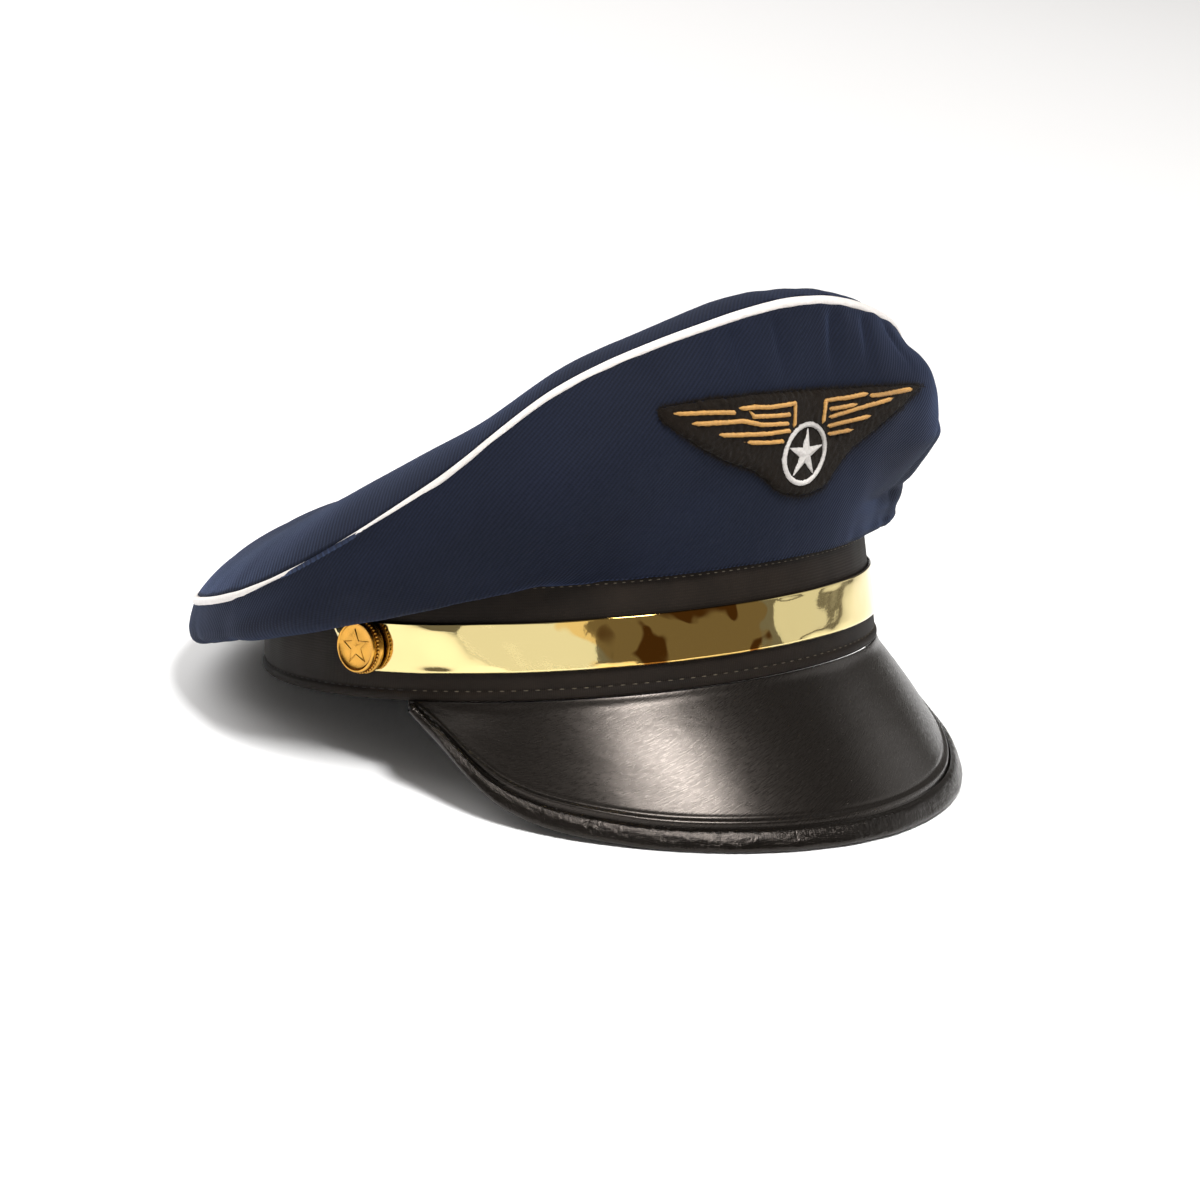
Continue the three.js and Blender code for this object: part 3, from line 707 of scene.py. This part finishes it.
# Painted shade: ambient occlusion darkens and browns the base colour in the hollows, mixed with a
# random stain
hollow_shade = add_node(stamped_brass, "AmbientOcclusion", {"samples": 8}, Distance=0.0015)["AO"]
unshaded_share = add_node(stamped_brass, "Math", {"operation": "MULTIPLY"}, i0=hollow_shade, i1=0.8)[0]
stain_and_hollow_shade = add_node(stamped_brass, "Math", {"operation": "MULTIPLY_ADD"}, i0=stain, i1=0.35,
                  i2=unshaded_share)[0]
wire_tone_and_relief(stamped_brass, stain_and_hollow_shade, "#1e0c03", "#cf9a45", stain, 0.00008, 0.6)

for hand, side in (("right", 1), ("left", -1)):
    height = STRAP_FOOT + STRAP_HEIGHT / 2
    angle = side * BUTTON_ANGLE
    facing = (oval_facing(angle) + Vector((0, 0, FOOT_FLARE / BAND_HEIGHT))).normalized()
    up = (Vector((0, 0, 1)) - facing * facing.z).normalized()
    seat = Matrix((up.cross(facing), up, facing)).transposed()
    foot = oval(angle, band_out(height) + 2 * CLEARANCE + STRAP_THICKNESS, height)
    net = button_net()
    for corner in net.verts:
        corner.co = at_rest(foot + seat @ corner.co)
    stud = finish_piece(f"button_{hand}_stamped", net, stamped_brass, [f"button_{hand}"])
    crisp = stud.modifiers.new("crisp stamping", "BEVEL")
    crisp.width = 0.00008
    crisp.segments = 2


# Crown side
# Quarters of navy twill sewn to the band. At the front they stand up high over a stiffener; at
# the sides and the back the cloth bags out over the band and hangs below its own seam.
CROWN_RISE = 74.0
OVERHANG = 22.0
CROWN_CLOTH = 1.5
SEAM_OUT = CLEARANCE + CROWN_CLOTH / 2
PIPING_RADIUS = 1.4
SECTION_STEPS = 160
NIP_CENTRE = -44

crown_rows = (  # turn, shoulder out and up, belly out and up, welt out and up
    (0, 0.30, 0.35, 0.50, 0.67, 0.44, 1.00),
    (22, 0.35, 0.29, 0.76, 0.59, 0.46, 0.92),
    (42, 0.44, 0.10, 1.06, 0.43, 0.62, 0.75),
    (62, 0.36, -0.04, 0.85, 0.18, 0.71, 0.41),
    (90, 0.50, -0.16, 1.01, -0.12, 1.00, 0.04),
    (120, 0.55, -0.23, 1.01, -0.27, 0.98, -0.12),
    (150, 0.59, -0.22, 1.02, -0.29, 0.96, -0.155),
    (180, 0.60, -0.19, 1.05, -0.22, 1.00, -0.06),
)


def between_rows(rows, place):
    """A table's values between its rows, level at the first and the last"""
    mirrored = [(2 * rows[0][0] - rows[1][0], *rows[1][1:]), *rows,
                (2 * rows[-1][0] - rows[-2][0], *rows[-2][1:])]
    step = 1
    while step < len(rows) - 1 and place > mirrored[step + 1][0]:
        step += 1
    before, low, high, after = mirrored[step - 1:step + 3]
    p = (place - low[0]) / (high[0] - low[0])
    wp = 0.5 * (high[0] - low[0]) / (low[0] - before[0])
    wn = 0.5 * (high[0] - low[0]) / (after[0] - high[0])
    shares = (-wp * p ** 3 + 2 * wp * p * p - wp * p,
              (1 + wp) * p ** 3 + (-1.5 - 2 * wp) * p * p + (wp - 0.5) * p + 1,
              (-1 - wn) * p ** 3 + (1.5 + wn) * p * p + 0.5 * p,
              wn * p ** 3 - wn * p * p)
    return [sum(share * row[column] for share, row in zip(shares, (before, low, high, after)))
            for column in range(1, len(low))]


def crown_section(angle):
    """One section of the crown's side, as curve points of outward and height"""
    turn = abs(math.degrees(math.atan2(math.sin(angle), math.cos(angle))))
    values = between_rows(crown_rows, turn)
    places = [Vector((SEAM_OUT, BAND_HEIGHT))]
    for out, up in zip(values[::2], values[1::2]):
        places.append(Vector((out * OVERHANG, BAND_HEIGHT + up * CROWN_RISE)))
    return places


def even_section(points, steps=80):
    """A section walked in even steps: its places, and its whole length"""
    fine_points = [spline(points, step / SECTION_STEPS) for step in range(SECTION_STEPS + 1)]
    lengths = walked_lengths(fine_points)
    whole = lengths[-1]
    walked, step = [], 0
    for number in range(steps + 1):
        aim = whole * number / steps
        while step < SECTION_STEPS - 1 and lengths[step + 1] < aim:
            step += 1
        part = (aim - lengths[step]) / max(lengths[step + 1] - lengths[step], 1e-9)
        walked.append(fine_points[step].lerp(fine_points[step + 1], min(part, 1)))
    return walked, whole


# Folds of the side: turn, share up, lean in degrees from upright, half length, half width, depth
side_folds = (
    (-42, 0.50, -9, 22, 4.0, -1.8),
    (117, 0.42, 16, 12, 3.0, -3.2),
    (124, 0.40, 4, 11, 3.2, 1.8),
    (-146, 0.55, -12, 9, 2.2, -1.8),
    (104, 0.50, 10, 11, 4.0, -0.8),
    (75, 0.72, 55, 16, 5.0, 0.9),
    (66, 0.45, 40, 14, 5.0, -0.9),
    (13, 0.88, 10, 14, 3.2, -1.7),
    (18, 0.92, -14, 8, 1.8, -0.8),
    (5, 0.91, 4, 12, 2.6, -1.4),
    (-8, 0.90, -8, 13, 2.8, -1.6),
    (-17, 0.90, -18, 12, 2.4, -1.3),
    (-27, 0.92, 10, 8, 2.2, -0.9),
    (29, 0.91, 22, 9, 2.2, -0.8),
)

nip_rows = (  # height above the seam, push outward
    (-0.5, 0.3), (0.6, 5.2), (1.6, 4.6), (2.7, 3.1), (4.4, 1.8), (7.2, 0.7), (8.8, -0.4),
    (11.2, -1.9), (13.6, -0.6), (18.0, 0.4), (22.5, 1.4), (26.3, 2.3), (29.5, 1.5), (35.0, 0.5),
    (42.0, 1.4), (47.5, 2.4), (51.5, 2.0), (55.7, 0.0),
)


def nip(angle, rise):
    """On the wearer's left of the front the cloth bulges over the seam and is nipped in above it"""
    away = (math.degrees(angle) - NIP_CENTRE + 180) % 360 - 180
    if abs(away) > 45:
        return 0.0
    push = between_rows(nip_rows, min(max(rise, nip_rows[0][0]), nip_rows[-1][0]))[0]
    return push * math.exp(-(away / (11 + 4 * min(1, max(rise, 0) / 15))) ** 2)


crown_columns = {}


def crown_column(angle):
    key = round(angle, 4)
    if key not in crown_columns:
        crown_columns[key] = even_section(crown_section(key))
    return crown_columns[key]


def walked_place(walked, share):
    place = min(max(share, 0), 1) * (len(walked) - 1)
    step = min(int(place), len(walked) - 2)
    along = walked[step + 1] - walked[step]
    return walked[step] + along * (place - step), Vector((along.y, -along.x)).normalized()


def welt_cover(angle):
    """How much of the piping the sagging side closes over, from 0 to 1"""
    turn = math.degrees(math.atan2(math.sin(angle), math.cos(angle)))
    return max(math.exp(-((abs(turn) - 80) / 13) ** 2), 0.9 * math.exp(-((turn + 62) / 11) ** 2))


def side_move(angle, share, whole):
    """How far the side's cloth stands off its plain section, in millimetres"""
    move = 0.0
    for turn, up, lean, half_length, half_width, depth in side_folds:
        away = (angle - math.radians(turn) + math.pi) % FULL_TURN - math.pi
        if abs(away) > 0.9:
            continue
        beside, above = away * 100, (share - up) * whole
        lean = math.radians(lean)
        along = above * math.cos(lean) + beside * math.sin(lean)
        across = beside * math.cos(lean) - above * math.sin(lean)
        size = depth * math.exp(-(along / half_length) ** 2 - (across / half_width) ** 2)
        move += size * min(1, (1 - share) * whole / 4)
    around = Vector((math.cos(angle), math.sin(angle), 0))
    move += 1.3 * welt_cover(angle) * math.exp(-(1 - share) * whole / 2.5)
    up_close = math.exp(-(1 - share) * whole / 6)
    low_close = math.exp(-share * whole / 5)
    move += noise.noise(around * 17 + Vector((0, 0, share))) * 0.35 * up_close
    move += noise.noise(around * 13 + Vector((0, 0, 5 + share))) * 0.8 * low_close
    calm = min(1, share * 6, (1 - share) * 6)
    move += noise.noise(around * 2.6 + Vector((0, 0, share * whole / 30))) * 1.6 * calm
    move += noise.noise(around * 8 + Vector((0, 0, 9 + share * whole / 14))) * 0.35 * calm
    return move


def side_point(angle, share, reach=1.0):
    """A place in the middle of the side's cloth, at a share of its section up to its reach"""
    walked, whole = crown_column(angle)
    place, outward = walked_place(walked, share * reach)
    place = place + outward * side_move(angle, share, whole)
    return oval(angle, place.x + nip(angle, place.y - BAND_HEIGHT), place.y)


def side_place(s, t):
    angle = -FULL_TURN * s
    whole = crown_column(angle)[1]
    return side_point(angle, t, 1 - (0.7 - 1.3 * welt_cover(angle)) * PIPING_RADIUS / whole)


def side_size(s, t):
    return s * OVAL_LENGTH * 1.15, t * crown_column(-FULL_TURN * s)[1]


# Navy wool twill: slanting wales of twisted yarn with a dark line between each two, lint and a
# faint blue bloom. Wales and yarns are drawn a little coarser than real, so that they show.
WALE_PITCH = 1.15
YARN_PITCH = 0.7
crown_twill = new_finish("crown_twill", "#1c2130", 0.8, Specular_IOR_Level=0.12,
                         Sheen_Weight=0.15, Sheen_Roughness=0.35, Sheen_Tint=colour("#84a0e0"))
twill_map = add_node(crown_twill, "UVMap")[0]
slanted = add_node(crown_twill, "Mapping", Vector=twill_map,
                   Rotation=(0, 0, math.radians(-45)))[0]
wales = add_node(crown_twill, "TexWave", {"bands_direction": "Y"}, Vector=slanted,
                 Scale=WAVE_UNIT / WALE_PITCH, Distortion=0.5, Detail=2.0,
                 Detail_Scale=1.5)["Fac"]
yarns = add_node(crown_twill, "TexWave", {"bands_direction": "X"}, Vector=slanted,
                 Scale=WAVE_UNIT / YARN_PITCH, Distortion=0.9, Detail=1.0)["Fac"]
yarn_height = add_node(crown_twill, "Math", {"operation": "MULTIPLY_ADD"}, i0=yarns, i1=0.35,
                       i2=wales)[0]
cloudy = add_node(crown_twill, "TexNoise", Vector=twill_map, Scale=0.03, Detail=4.0)[0]
lint = add_node(crown_twill, "TexNoise", Vector=twill_map, Scale=1.3, Detail=2.0)[0]
shade = add_node(crown_twill, "Math", {"operation": "MULTIPLY"}, i0=cloudy, i1=0.5)[0]
for pattern, weight in ((yarn_height, 0.38), (lint, 0.25)):
    shade = add_node(crown_twill, "Math", {"operation": "MULTIPLY_ADD"}, i0=pattern, i1=weight,
                     i2=shade)[0]
wire_tone_and_relief(crown_twill, shade, "#05070c", "#161b2b", yarn_height, 0.00012, 0.75)

crown_side = finish_piece("crown_side_cloth", bent_net(400, 72, side_place, side_size),
                          crown_twill, ["crown_side"], thickness=CROWN_CLOTH, inward=0)

seam_stitches = stitch_places(-88, 88, 2.5, 0.9, BAND_HEIGHT - 1.1)
add_stitches("crown_seam_stitches", seam_stitches, pale_thread, 1.1, 0.3)


# Crown top
# One panel of the same twill inside the welt. It hangs from the high front to the low back like
# a skin over a rim, puffed up a little, with soft dents where nothing holds it.
TOP_PUFF = 16.0
TOP_PUFF_SHARPNESS = 8
TOP_PEAK_FORWARD = 25.0
TOP_WAVES = 5
TOP_SAMPLES = 72


def welt_place(angle):
    end = crown_section(angle)[-1]
    return oval(angle, end.x, end.y)


welt_waves = []
turns = [math.radians(360 / TOP_SAMPLES * sample) for sample in range(TOP_SAMPLES)]
for wave in range(TOP_WAVES + 1):
    heights = [welt_place(turn).z * math.cos(wave * turn) for turn in turns]
    welt_waves.append(sum(heights) / TOP_SAMPLES * (1 if wave == 0 else 2))

# Dents and ridges of the top: x, y, direction in degrees, half length, half width, depth
top_folds = (
    (-70, 50, 20, 34, 18, -3.0),
    (-55, 15, 65, 40, 7, 1.6),
    (30, 60, -30, 40, 16, -2.2),
    (0, 95, 90, 14, 40, 1.2),
    (60, 10, -60, 38, 8, 1.3),
)


def top_place(s, t):
    angle = -FULL_TURN * s
    edge = welt_place(angle)
    reach = math.hypot(edge.x, edge.y + TOP_PEAK_FORWARD)
    share = (1 - t) * (1 - 0.7 * PIPING_RADIUS / reach)
    x = edge.x * share
    y = -TOP_PEAK_FORWARD + (edge.y + TOP_PEAK_FORWARD) * share
    height = sum(size * share ** wave * math.cos(wave * angle) for wave, size in enumerate(welt_waves))
    rim = sum(size * math.cos(wave * angle) for wave, size in enumerate(welt_waves))
    height += (edge.z - rim) * share ** TOP_WAVES + TOP_PUFF * (1 - share ** TOP_PUFF_SHARPNESS)
    for fold_x, fold_y, turn, half_length, half_width, depth in top_folds:
        turn = math.radians(turn)
        along = (x - fold_x) * math.cos(turn) + (y - fold_y) * math.sin(turn)
        across = (y - fold_y) * math.cos(turn) - (x - fold_x) * math.sin(turn)
        size = depth * math.exp(-(along / half_length) ** 2 - (across / half_width) ** 2)
        height += size * (1 - share ** 6)
    calm = 1 - share ** 10
    height += noise.noise(Vector((x / 32, y / 32, 4))) * 1.3 * calm
    # Small puckers just inside the welt
    inside = (1 - share) * reach
    around = Vector((math.cos(angle), math.sin(angle), 0))
    height += noise.noise(around * 16) * 0.6 * math.exp(-inside / 7) * min(1, inside)
    return Vector((x, y, height))


def top_size(s, t):
    edge = welt_place(-FULL_TURN * s)
    return edge.x * (1 - t), edge.y * (1 - t) * 1.05


crown_top = finish_piece("crown_top_cloth", bent_net(320, 110, top_place, top_size),
                         crown_twill, ["crown_top"], thickness=CROWN_CLOTH, inward=0)


# Piping
# A white satin cord in the welt between the crown's side and its top. Where the cloth sags at
# the sides it closes over part of the cord.
SATIN_PITCH = 0.8


def piping_place(s, t):
    angle = -FULL_TURN * s
    end = crown_section(angle)[-1]
    turn = FULL_TURN * t
    wander = noise.noise(Vector((math.cos(angle), math.sin(angle), 3)) * 9) * 0.12
    radius = PIPING_RADIUS * (1 + 0.06 * wander)
    sunk = 0.8 * welt_cover(angle)
    return oval(angle, end.x + wander - sunk + radius * math.cos(turn),
                end.y + wander + radius * math.sin(turn))


def piping_size(s, t):
    return s * OVAL_LENGTH * 1.3, t * 8.8


# White satin tape drawn tight over a cord: a soft shine, fine slanting threads, a little soil
white_satin = new_finish("white_satin", "#ebe7e3", 0.42, Sheen_Weight=0.3)
satin_map = add_node(white_satin, "UVMap")[0]
satin_lines = add_node(white_satin, "TexWave", {"bands_direction": "DIAGONAL"}, Vector=satin_map,
                       Scale=WAVE_UNIT / SATIN_PITCH, Distortion=1.0, Detail=1.0)["Fac"]
soil = add_node(white_satin, "TexNoise", Vector=satin_map, Scale=0.3, Detail=3.0)[0]
wire_tone_and_relief(white_satin, soil, "#bdb6b0", "#e0dad5", satin_lines, 0.00006, 0.6)

finish_piece("piping_cord", bent_net(720, 16, piping_place, piping_size), white_satin,
             ["piping"])


# Badge patch
# A winged patch of black-brown felt sewn on the crown's front, leaning by a degree or two, with
# a furry edge.
BADGE_HALF_WIDTH = 56.0
BADGE_CENTRE_HEIGHT = 64.1
BADGE_LEAN = math.radians(1.9)
BADGE_FELT = 1.8
FRONT_RADIUS = 89
FELT_HAIRS = 6000

badge_rows = (  # across from the wearer's right to left, low edge, high edge
    (-0.955, 0.250, 0.268), (-0.940, 0.222, 0.284), (-0.900, 0.192, 0.294), (-0.850, 0.160, 0.300),
    (-0.695, 0.077, 0.318), (-0.519, 0.000, 0.322), (-0.340, -0.057, 0.326), (-0.240, -0.116, 0.327),
    (-0.178, -0.166, 0.326), (-0.109, -0.199, 0.325), (0.000, -0.222, 0.322), (0.070, -0.224, 0.319),
    (0.122, -0.217, 0.318), (0.180, -0.203, 0.315), (0.227, -0.180, 0.312), (0.255, -0.140, 0.311),
    (0.291, -0.092, 0.310), (0.381, -0.009, 0.307), (0.518, 0.064, 0.302), (0.668, 0.150, 0.292),
    (0.826, 0.220, 0.283), (0.940, 0.252, 0.276), (0.966, 0.262, 0.271),
)


front_places = {}


def on_front(across, up, standoff):
    """A place on the crown's front: across towards the wearer's left and up from the badge's
    middle, standing off the cloth's face"""
    key = (round(across, 3), round(up, 3))
    if key not in front_places:
        x = across * math.cos(BADGE_LEAN) + up * math.sin(BADGE_LEAN)
        z = BADGE_CENTRE_HEIGHT + up * math.cos(BADGE_LEAN) - across * math.sin(BADGE_LEAN)
        # A few small steps bring the place on the cloth to the wanted x and z
        angle, share = -x / FRONT_RADIUS, 0.5
        for _ in range(9):
            angle = round(angle, 3)
            place = side_point(angle, share)
            angle -= (x - place.x) / FRONT_RADIUS * 0.85
            share += (z - place.z) / 80 * 0.85
        place = side_point(angle, share)
        beside = side_point(angle - 0.02, share) - place
        above = side_point(angle, share + 0.02) - place
        front_places[key] = (place, beside.cross(above).normalized())
    place, facing = front_places[key]
    return place + facing * (CROWN_CLOTH / 2 + standoff)


def badge_edges(across):
    """Low and high edge of the felt at a share across the badge"""
    for low, high in zip(badge_rows, badge_rows[1:]):
        if across <= high[0]:
            part = (across - low[0]) / (high[0] - low[0])
            return [low[c] + (high[c] - low[c]) * part for c in (1, 2)]
    return list(badge_rows[-1][1:])


badge_ends = badge_rows[0][0], badge_rows[-1][0]


def on_patch(s, t):
    """The share across the badge, the share up it, and the felt's height there"""
    across = badge_ends[0] + (badge_ends[1] - badge_ends[0]) * s
    low, high = badge_edges(across)
    return across, low + (high - low) * t, high - low


def patch_place(s, t):
    across, up, tall = on_patch(s, t)
    up += noise.noise(Vector((across * 40, t * 3, 0))) * 0.012 * (2 * t - 1)
    rim = min(t, 1 - t) * tall * BADGE_HALF_WIDTH
    rim = min(rim, min(across - badge_ends[0], badge_ends[1] - across) * BADGE_HALF_WIDTH)
    thick = BADGE_FELT * min(1, (rim / 1.6)) ** 0.45
    thick += noise.noise(Vector((across * 38, up * 38, 2))) * 0.3
    return on_front(across * BADGE_HALF_WIDTH, up * BADGE_HALF_WIDTH, max(thick, 0.02))


def patch_size(s, t):
    across, up, tall = on_patch(s, t)
    return across * BADGE_HALF_WIDTH, up * BADGE_HALF_WIDTH


# Black-brown felt of matted wool: dead matt, with a lumpy face
black_felt = new_finish("black_felt", "#1d1610", 0.95, Specular_IOR_Level=0.1, Sheen_Weight=0.04)
felt_map = add_node(black_felt, "TexCoord")["Object"]
matting = add_node(black_felt, "TexNoise", Vector=felt_map, Scale=700.0, Detail=5.0,
                   Roughness=0.7)[0]
wire_tone_and_relief(black_felt, matting, "#060402", "#1e1710", matting, 0.0005, 0.9)

patch = finish_piece("badge_felt_patch", bent_net(220, 44, patch_place, patch_size), black_felt,
                     ["badge_patch"])

# Loose hairs that stand out round the felt's edge and off its face
dice = random.Random(7)
hairs = bmesh.new()
for number in range(FELT_HAIRS):
    across = dice.uniform(*badge_ends)
    low, high = badge_edges(across)
    at_edge = number % 3 != 0
    upper = dice.random() < 0.5
    t = (1.0 if upper else 0.0) if at_edge else dice.random()
    root = Vector((across * BADGE_HALF_WIDTH, (low + (high - low) * t) * BADGE_HALF_WIDTH))
    heading = Vector((dice.uniform(-1, 1), (1 if upper else -1) * dice.uniform(0.2, 1.2)))
    if not at_edge:
        heading = Vector((dice.uniform(-1, 1), dice.uniform(-1, 1)))
    reach = dice.uniform(0.6, 1.7)
    heading.normalize()
    aside = Vector((-heading.y, heading.x)) * 0.06
    lift = BADGE_FELT * (0.35 if at_edge else 1.0)
    tip = root + heading * reach
    rise = dice.uniform(0.0, 0.7)
    corners = [on_front(p.x, p.y, h) for p, h in (
        (root - aside, lift), (root + aside, lift), (tip, lift + rise))]
    hairs.faces.new([hairs.verts.new(at_rest(corner)) for corner in corners])
bmesh.ops.recalc_face_normals(hairs, faces=hairs.faces)
hairs_piece = finish_piece("badge_felt_hairs", hairs, black_felt)


# Badge embroidery
# White satin stitch makes the ring and the star, gold satin stitch the feathers. Each bar is
# laid thread beside thread, so its edges are toothed and its outer end comes to a point.
RING_OUT = 9.2
RING_WIDTH = 1.5
STAR_SIZE = 7.7
FEATHER_WIDTH = 1.2
THREAD_PITCH = 0.36
THREADS_OFF = BADGE_FELT - 0.25

bar_section = (  # out and up, as shares of the bar's half width and rise
    (-1.0, 0.0), (-0.85, 0.62), (-0.4, 0.95), (0.0, 1.0), (0.4, 0.95), (0.85, 0.62), (1.0, 0.0))


def satin_bar(path, width, rise, pointed):
    """A toothed bar of satin stitch along a path of badge places"""
    lengths = walked_lengths(path)
    whole = lengths[-1]
    steps = max(8, int(whole / (THREAD_PITCH / 2)))

    def along(length):
        length = min(max(length, 0), whole)
        step = 0
        while step < len(lengths) - 2 and lengths[step + 1] < length:
            step += 1
        part = (length - lengths[step]) / (lengths[step + 1] - lengths[step])
        return path[step].lerp(path[step + 1], part)

    def bar_place(s, t):
        length = s * whole
        odd = round(s * steps) % 2
        middle = along(length)
        heading = (along(length + 0.6) - along(length - 0.6)).normalized()
        if not pointed:
            heading = Vector((-middle.y, middle.x)).normalized()
        aside = Vector((-heading.y, heading.x))
        ends = min(1, (length + 0.15) / 2.6, (whole - length + 0.15) / 0.8) if pointed else 1
        uneven = noise.noise(Vector((middle.x * 1.7, middle.y * 1.7, round(1 - t))))
        tooth = 0.93 + (0.13 if odd else -0.1) + 0.3 * uneven
        spot = (1 - t) * (len(bar_section) - 1)
        step = min(int(spot), len(bar_section) - 2)
        low, high = bar_section[step], bar_section[step + 1]
        out, up = (low[c] + (high[c] - low[c]) * (spot - step) for c in (0, 1))
        place = middle + aside * out * width / 2 * tooth * ends + heading * -0.25 * out
        lift = rise * up * max(ends, 0.3) * (1.0 if odd else 0.93)
        return on_front(place.x, place.y, THREADS_OFF + lift)

    return bent_net(steps, 6, bar_place, lambda s, t: (s * whole, t * width))


def satin_finish(name, low, high):
    """Embroidery thread: a line for each thread that is laid beside the next, a little patchy"""
    finish = new_finish(name, "#ffffff", 0.5, Sheen_Weight=0.05)
    lengths = add_node(finish, "UVMap")[0]
    lines = add_node(finish, "TexWave", {"bands_direction": "X"}, Vector=lengths,
                     Scale=WAVE_UNIT / THREAD_PITCH, Distortion=0.5)["Fac"]
    patchy = add_node(finish, "TexNoise", Vector=lengths, Scale=0.9, Detail=3.0)[0]
    patches = add_node(finish, "Math", {"operation": "MULTIPLY"}, i0=patchy, i1=0.6)[0]
    shade = add_node(finish, "Math", {"operation": "MULTIPLY_ADD"}, i0=lines, i1=0.5,
                     i2=patches)[0]
    wire_tone_and_relief(finish, shade, low, high, lines, 0.00012, 0.8)
    return finish


# Bright white rayon thread, with grey between its threads
white_thread = satin_finish("white_thread", "#716c69", "#e4dfda")
# Old gold rayon thread, brown between its threads
gold_thread = satin_finish("gold_thread", "#4a2c0c", "#dca552")

circle = [Vector((math.cos(turn), math.sin(turn))) * (RING_OUT - RING_WIDTH / 2)
          for turn in (FULL_TURN * step / 96 for step in range(97))]
finish_piece("badge_ring_stitching", satin_bar(circle, RING_WIDTH, 1.0, False), white_thread,
             ["badge_ring"])

star_net = bmesh.new()
raised_star(star_net, ((STAR_SIZE, 0.33, 0.0), (STAR_SIZE * 0.94, 0.32, 0.6),
                       (STAR_SIZE * 0.04, 0.9, 1.25)), math.pi / 2)
bmesh.ops.recalc_face_normals(star_net, faces=star_net.faces)
uv = star_net.loops.layers.uv.new("UVMap")
for face in star_net.faces:
    for loop in face.loops:
        loop[uv].uv = (loop.vert.co.x, loop.vert.co.y)
for corner in star_net.verts:
    corner.co = at_rest(on_front(corner.co.x, corner.co.y, THREADS_OFF + corner.co.z))
finish_piece("badge_star_stitching", star_net, white_thread, ["badge_star"],
             smooth=False)

feather_rows = {  # places from the outer end inwards, as shares of the badge's half width
    "feather_1_tip_right": ((-0.902, 0.254), (-0.720, 0.256), (-0.545, 0.251)),
    "feather_1_right": ((-0.542, 0.268), (-0.330, 0.262), (-0.115, 0.266), (-0.108, 0.200),
                        (-0.102, 0.146)),
    "feather_2_right": ((-0.463, 0.253), (-0.421, 0.222), (-0.280, 0.218), (-0.142, 0.213)),
    "feather_3_right": ((-0.813, 0.207), (-0.496, 0.209), (-0.359, 0.180), (-0.147, 0.168)),
    "feather_4_right": ((-0.651, 0.154), (-0.317, 0.132), (-0.127, 0.130)),
    "feather_5_right": ((-0.455, 0.103), (-0.310, 0.088), (-0.168, 0.080)),
    "feather_1_tip_left": ((0.832, 0.262), (0.630, 0.262), (0.440, 0.262)),
    "feather_1_left": ((0.445, 0.275), (0.280, 0.266), (0.121, 0.262), (0.115, 0.200), (0.111, 0.148)),
    "feather_2_left": ((0.368, 0.231), (0.250, 0.222), (0.148, 0.217)),
    "feather_3_left": ((0.637, 0.238), (0.480, 0.222), (0.359, 0.208), (0.154, 0.176)),
    "feather_4_left": ((0.480, 0.167), (0.320, 0.150), (0.149, 0.131)),
    "feather_5_left": ((0.360, 0.103), (0.260, 0.096), (0.158, 0.091)),
}
for name, places in feather_rows.items():
    path = [Vector(place) * BADGE_HALF_WIDTH for place in places]
    net = satin_bar(path, FEATHER_WIDTH, 0.95, True)
    bmesh.ops.recalc_face_normals(net, faces=net.faces)
    finish_piece(f"{name}_stitching", net, gold_thread, [name])
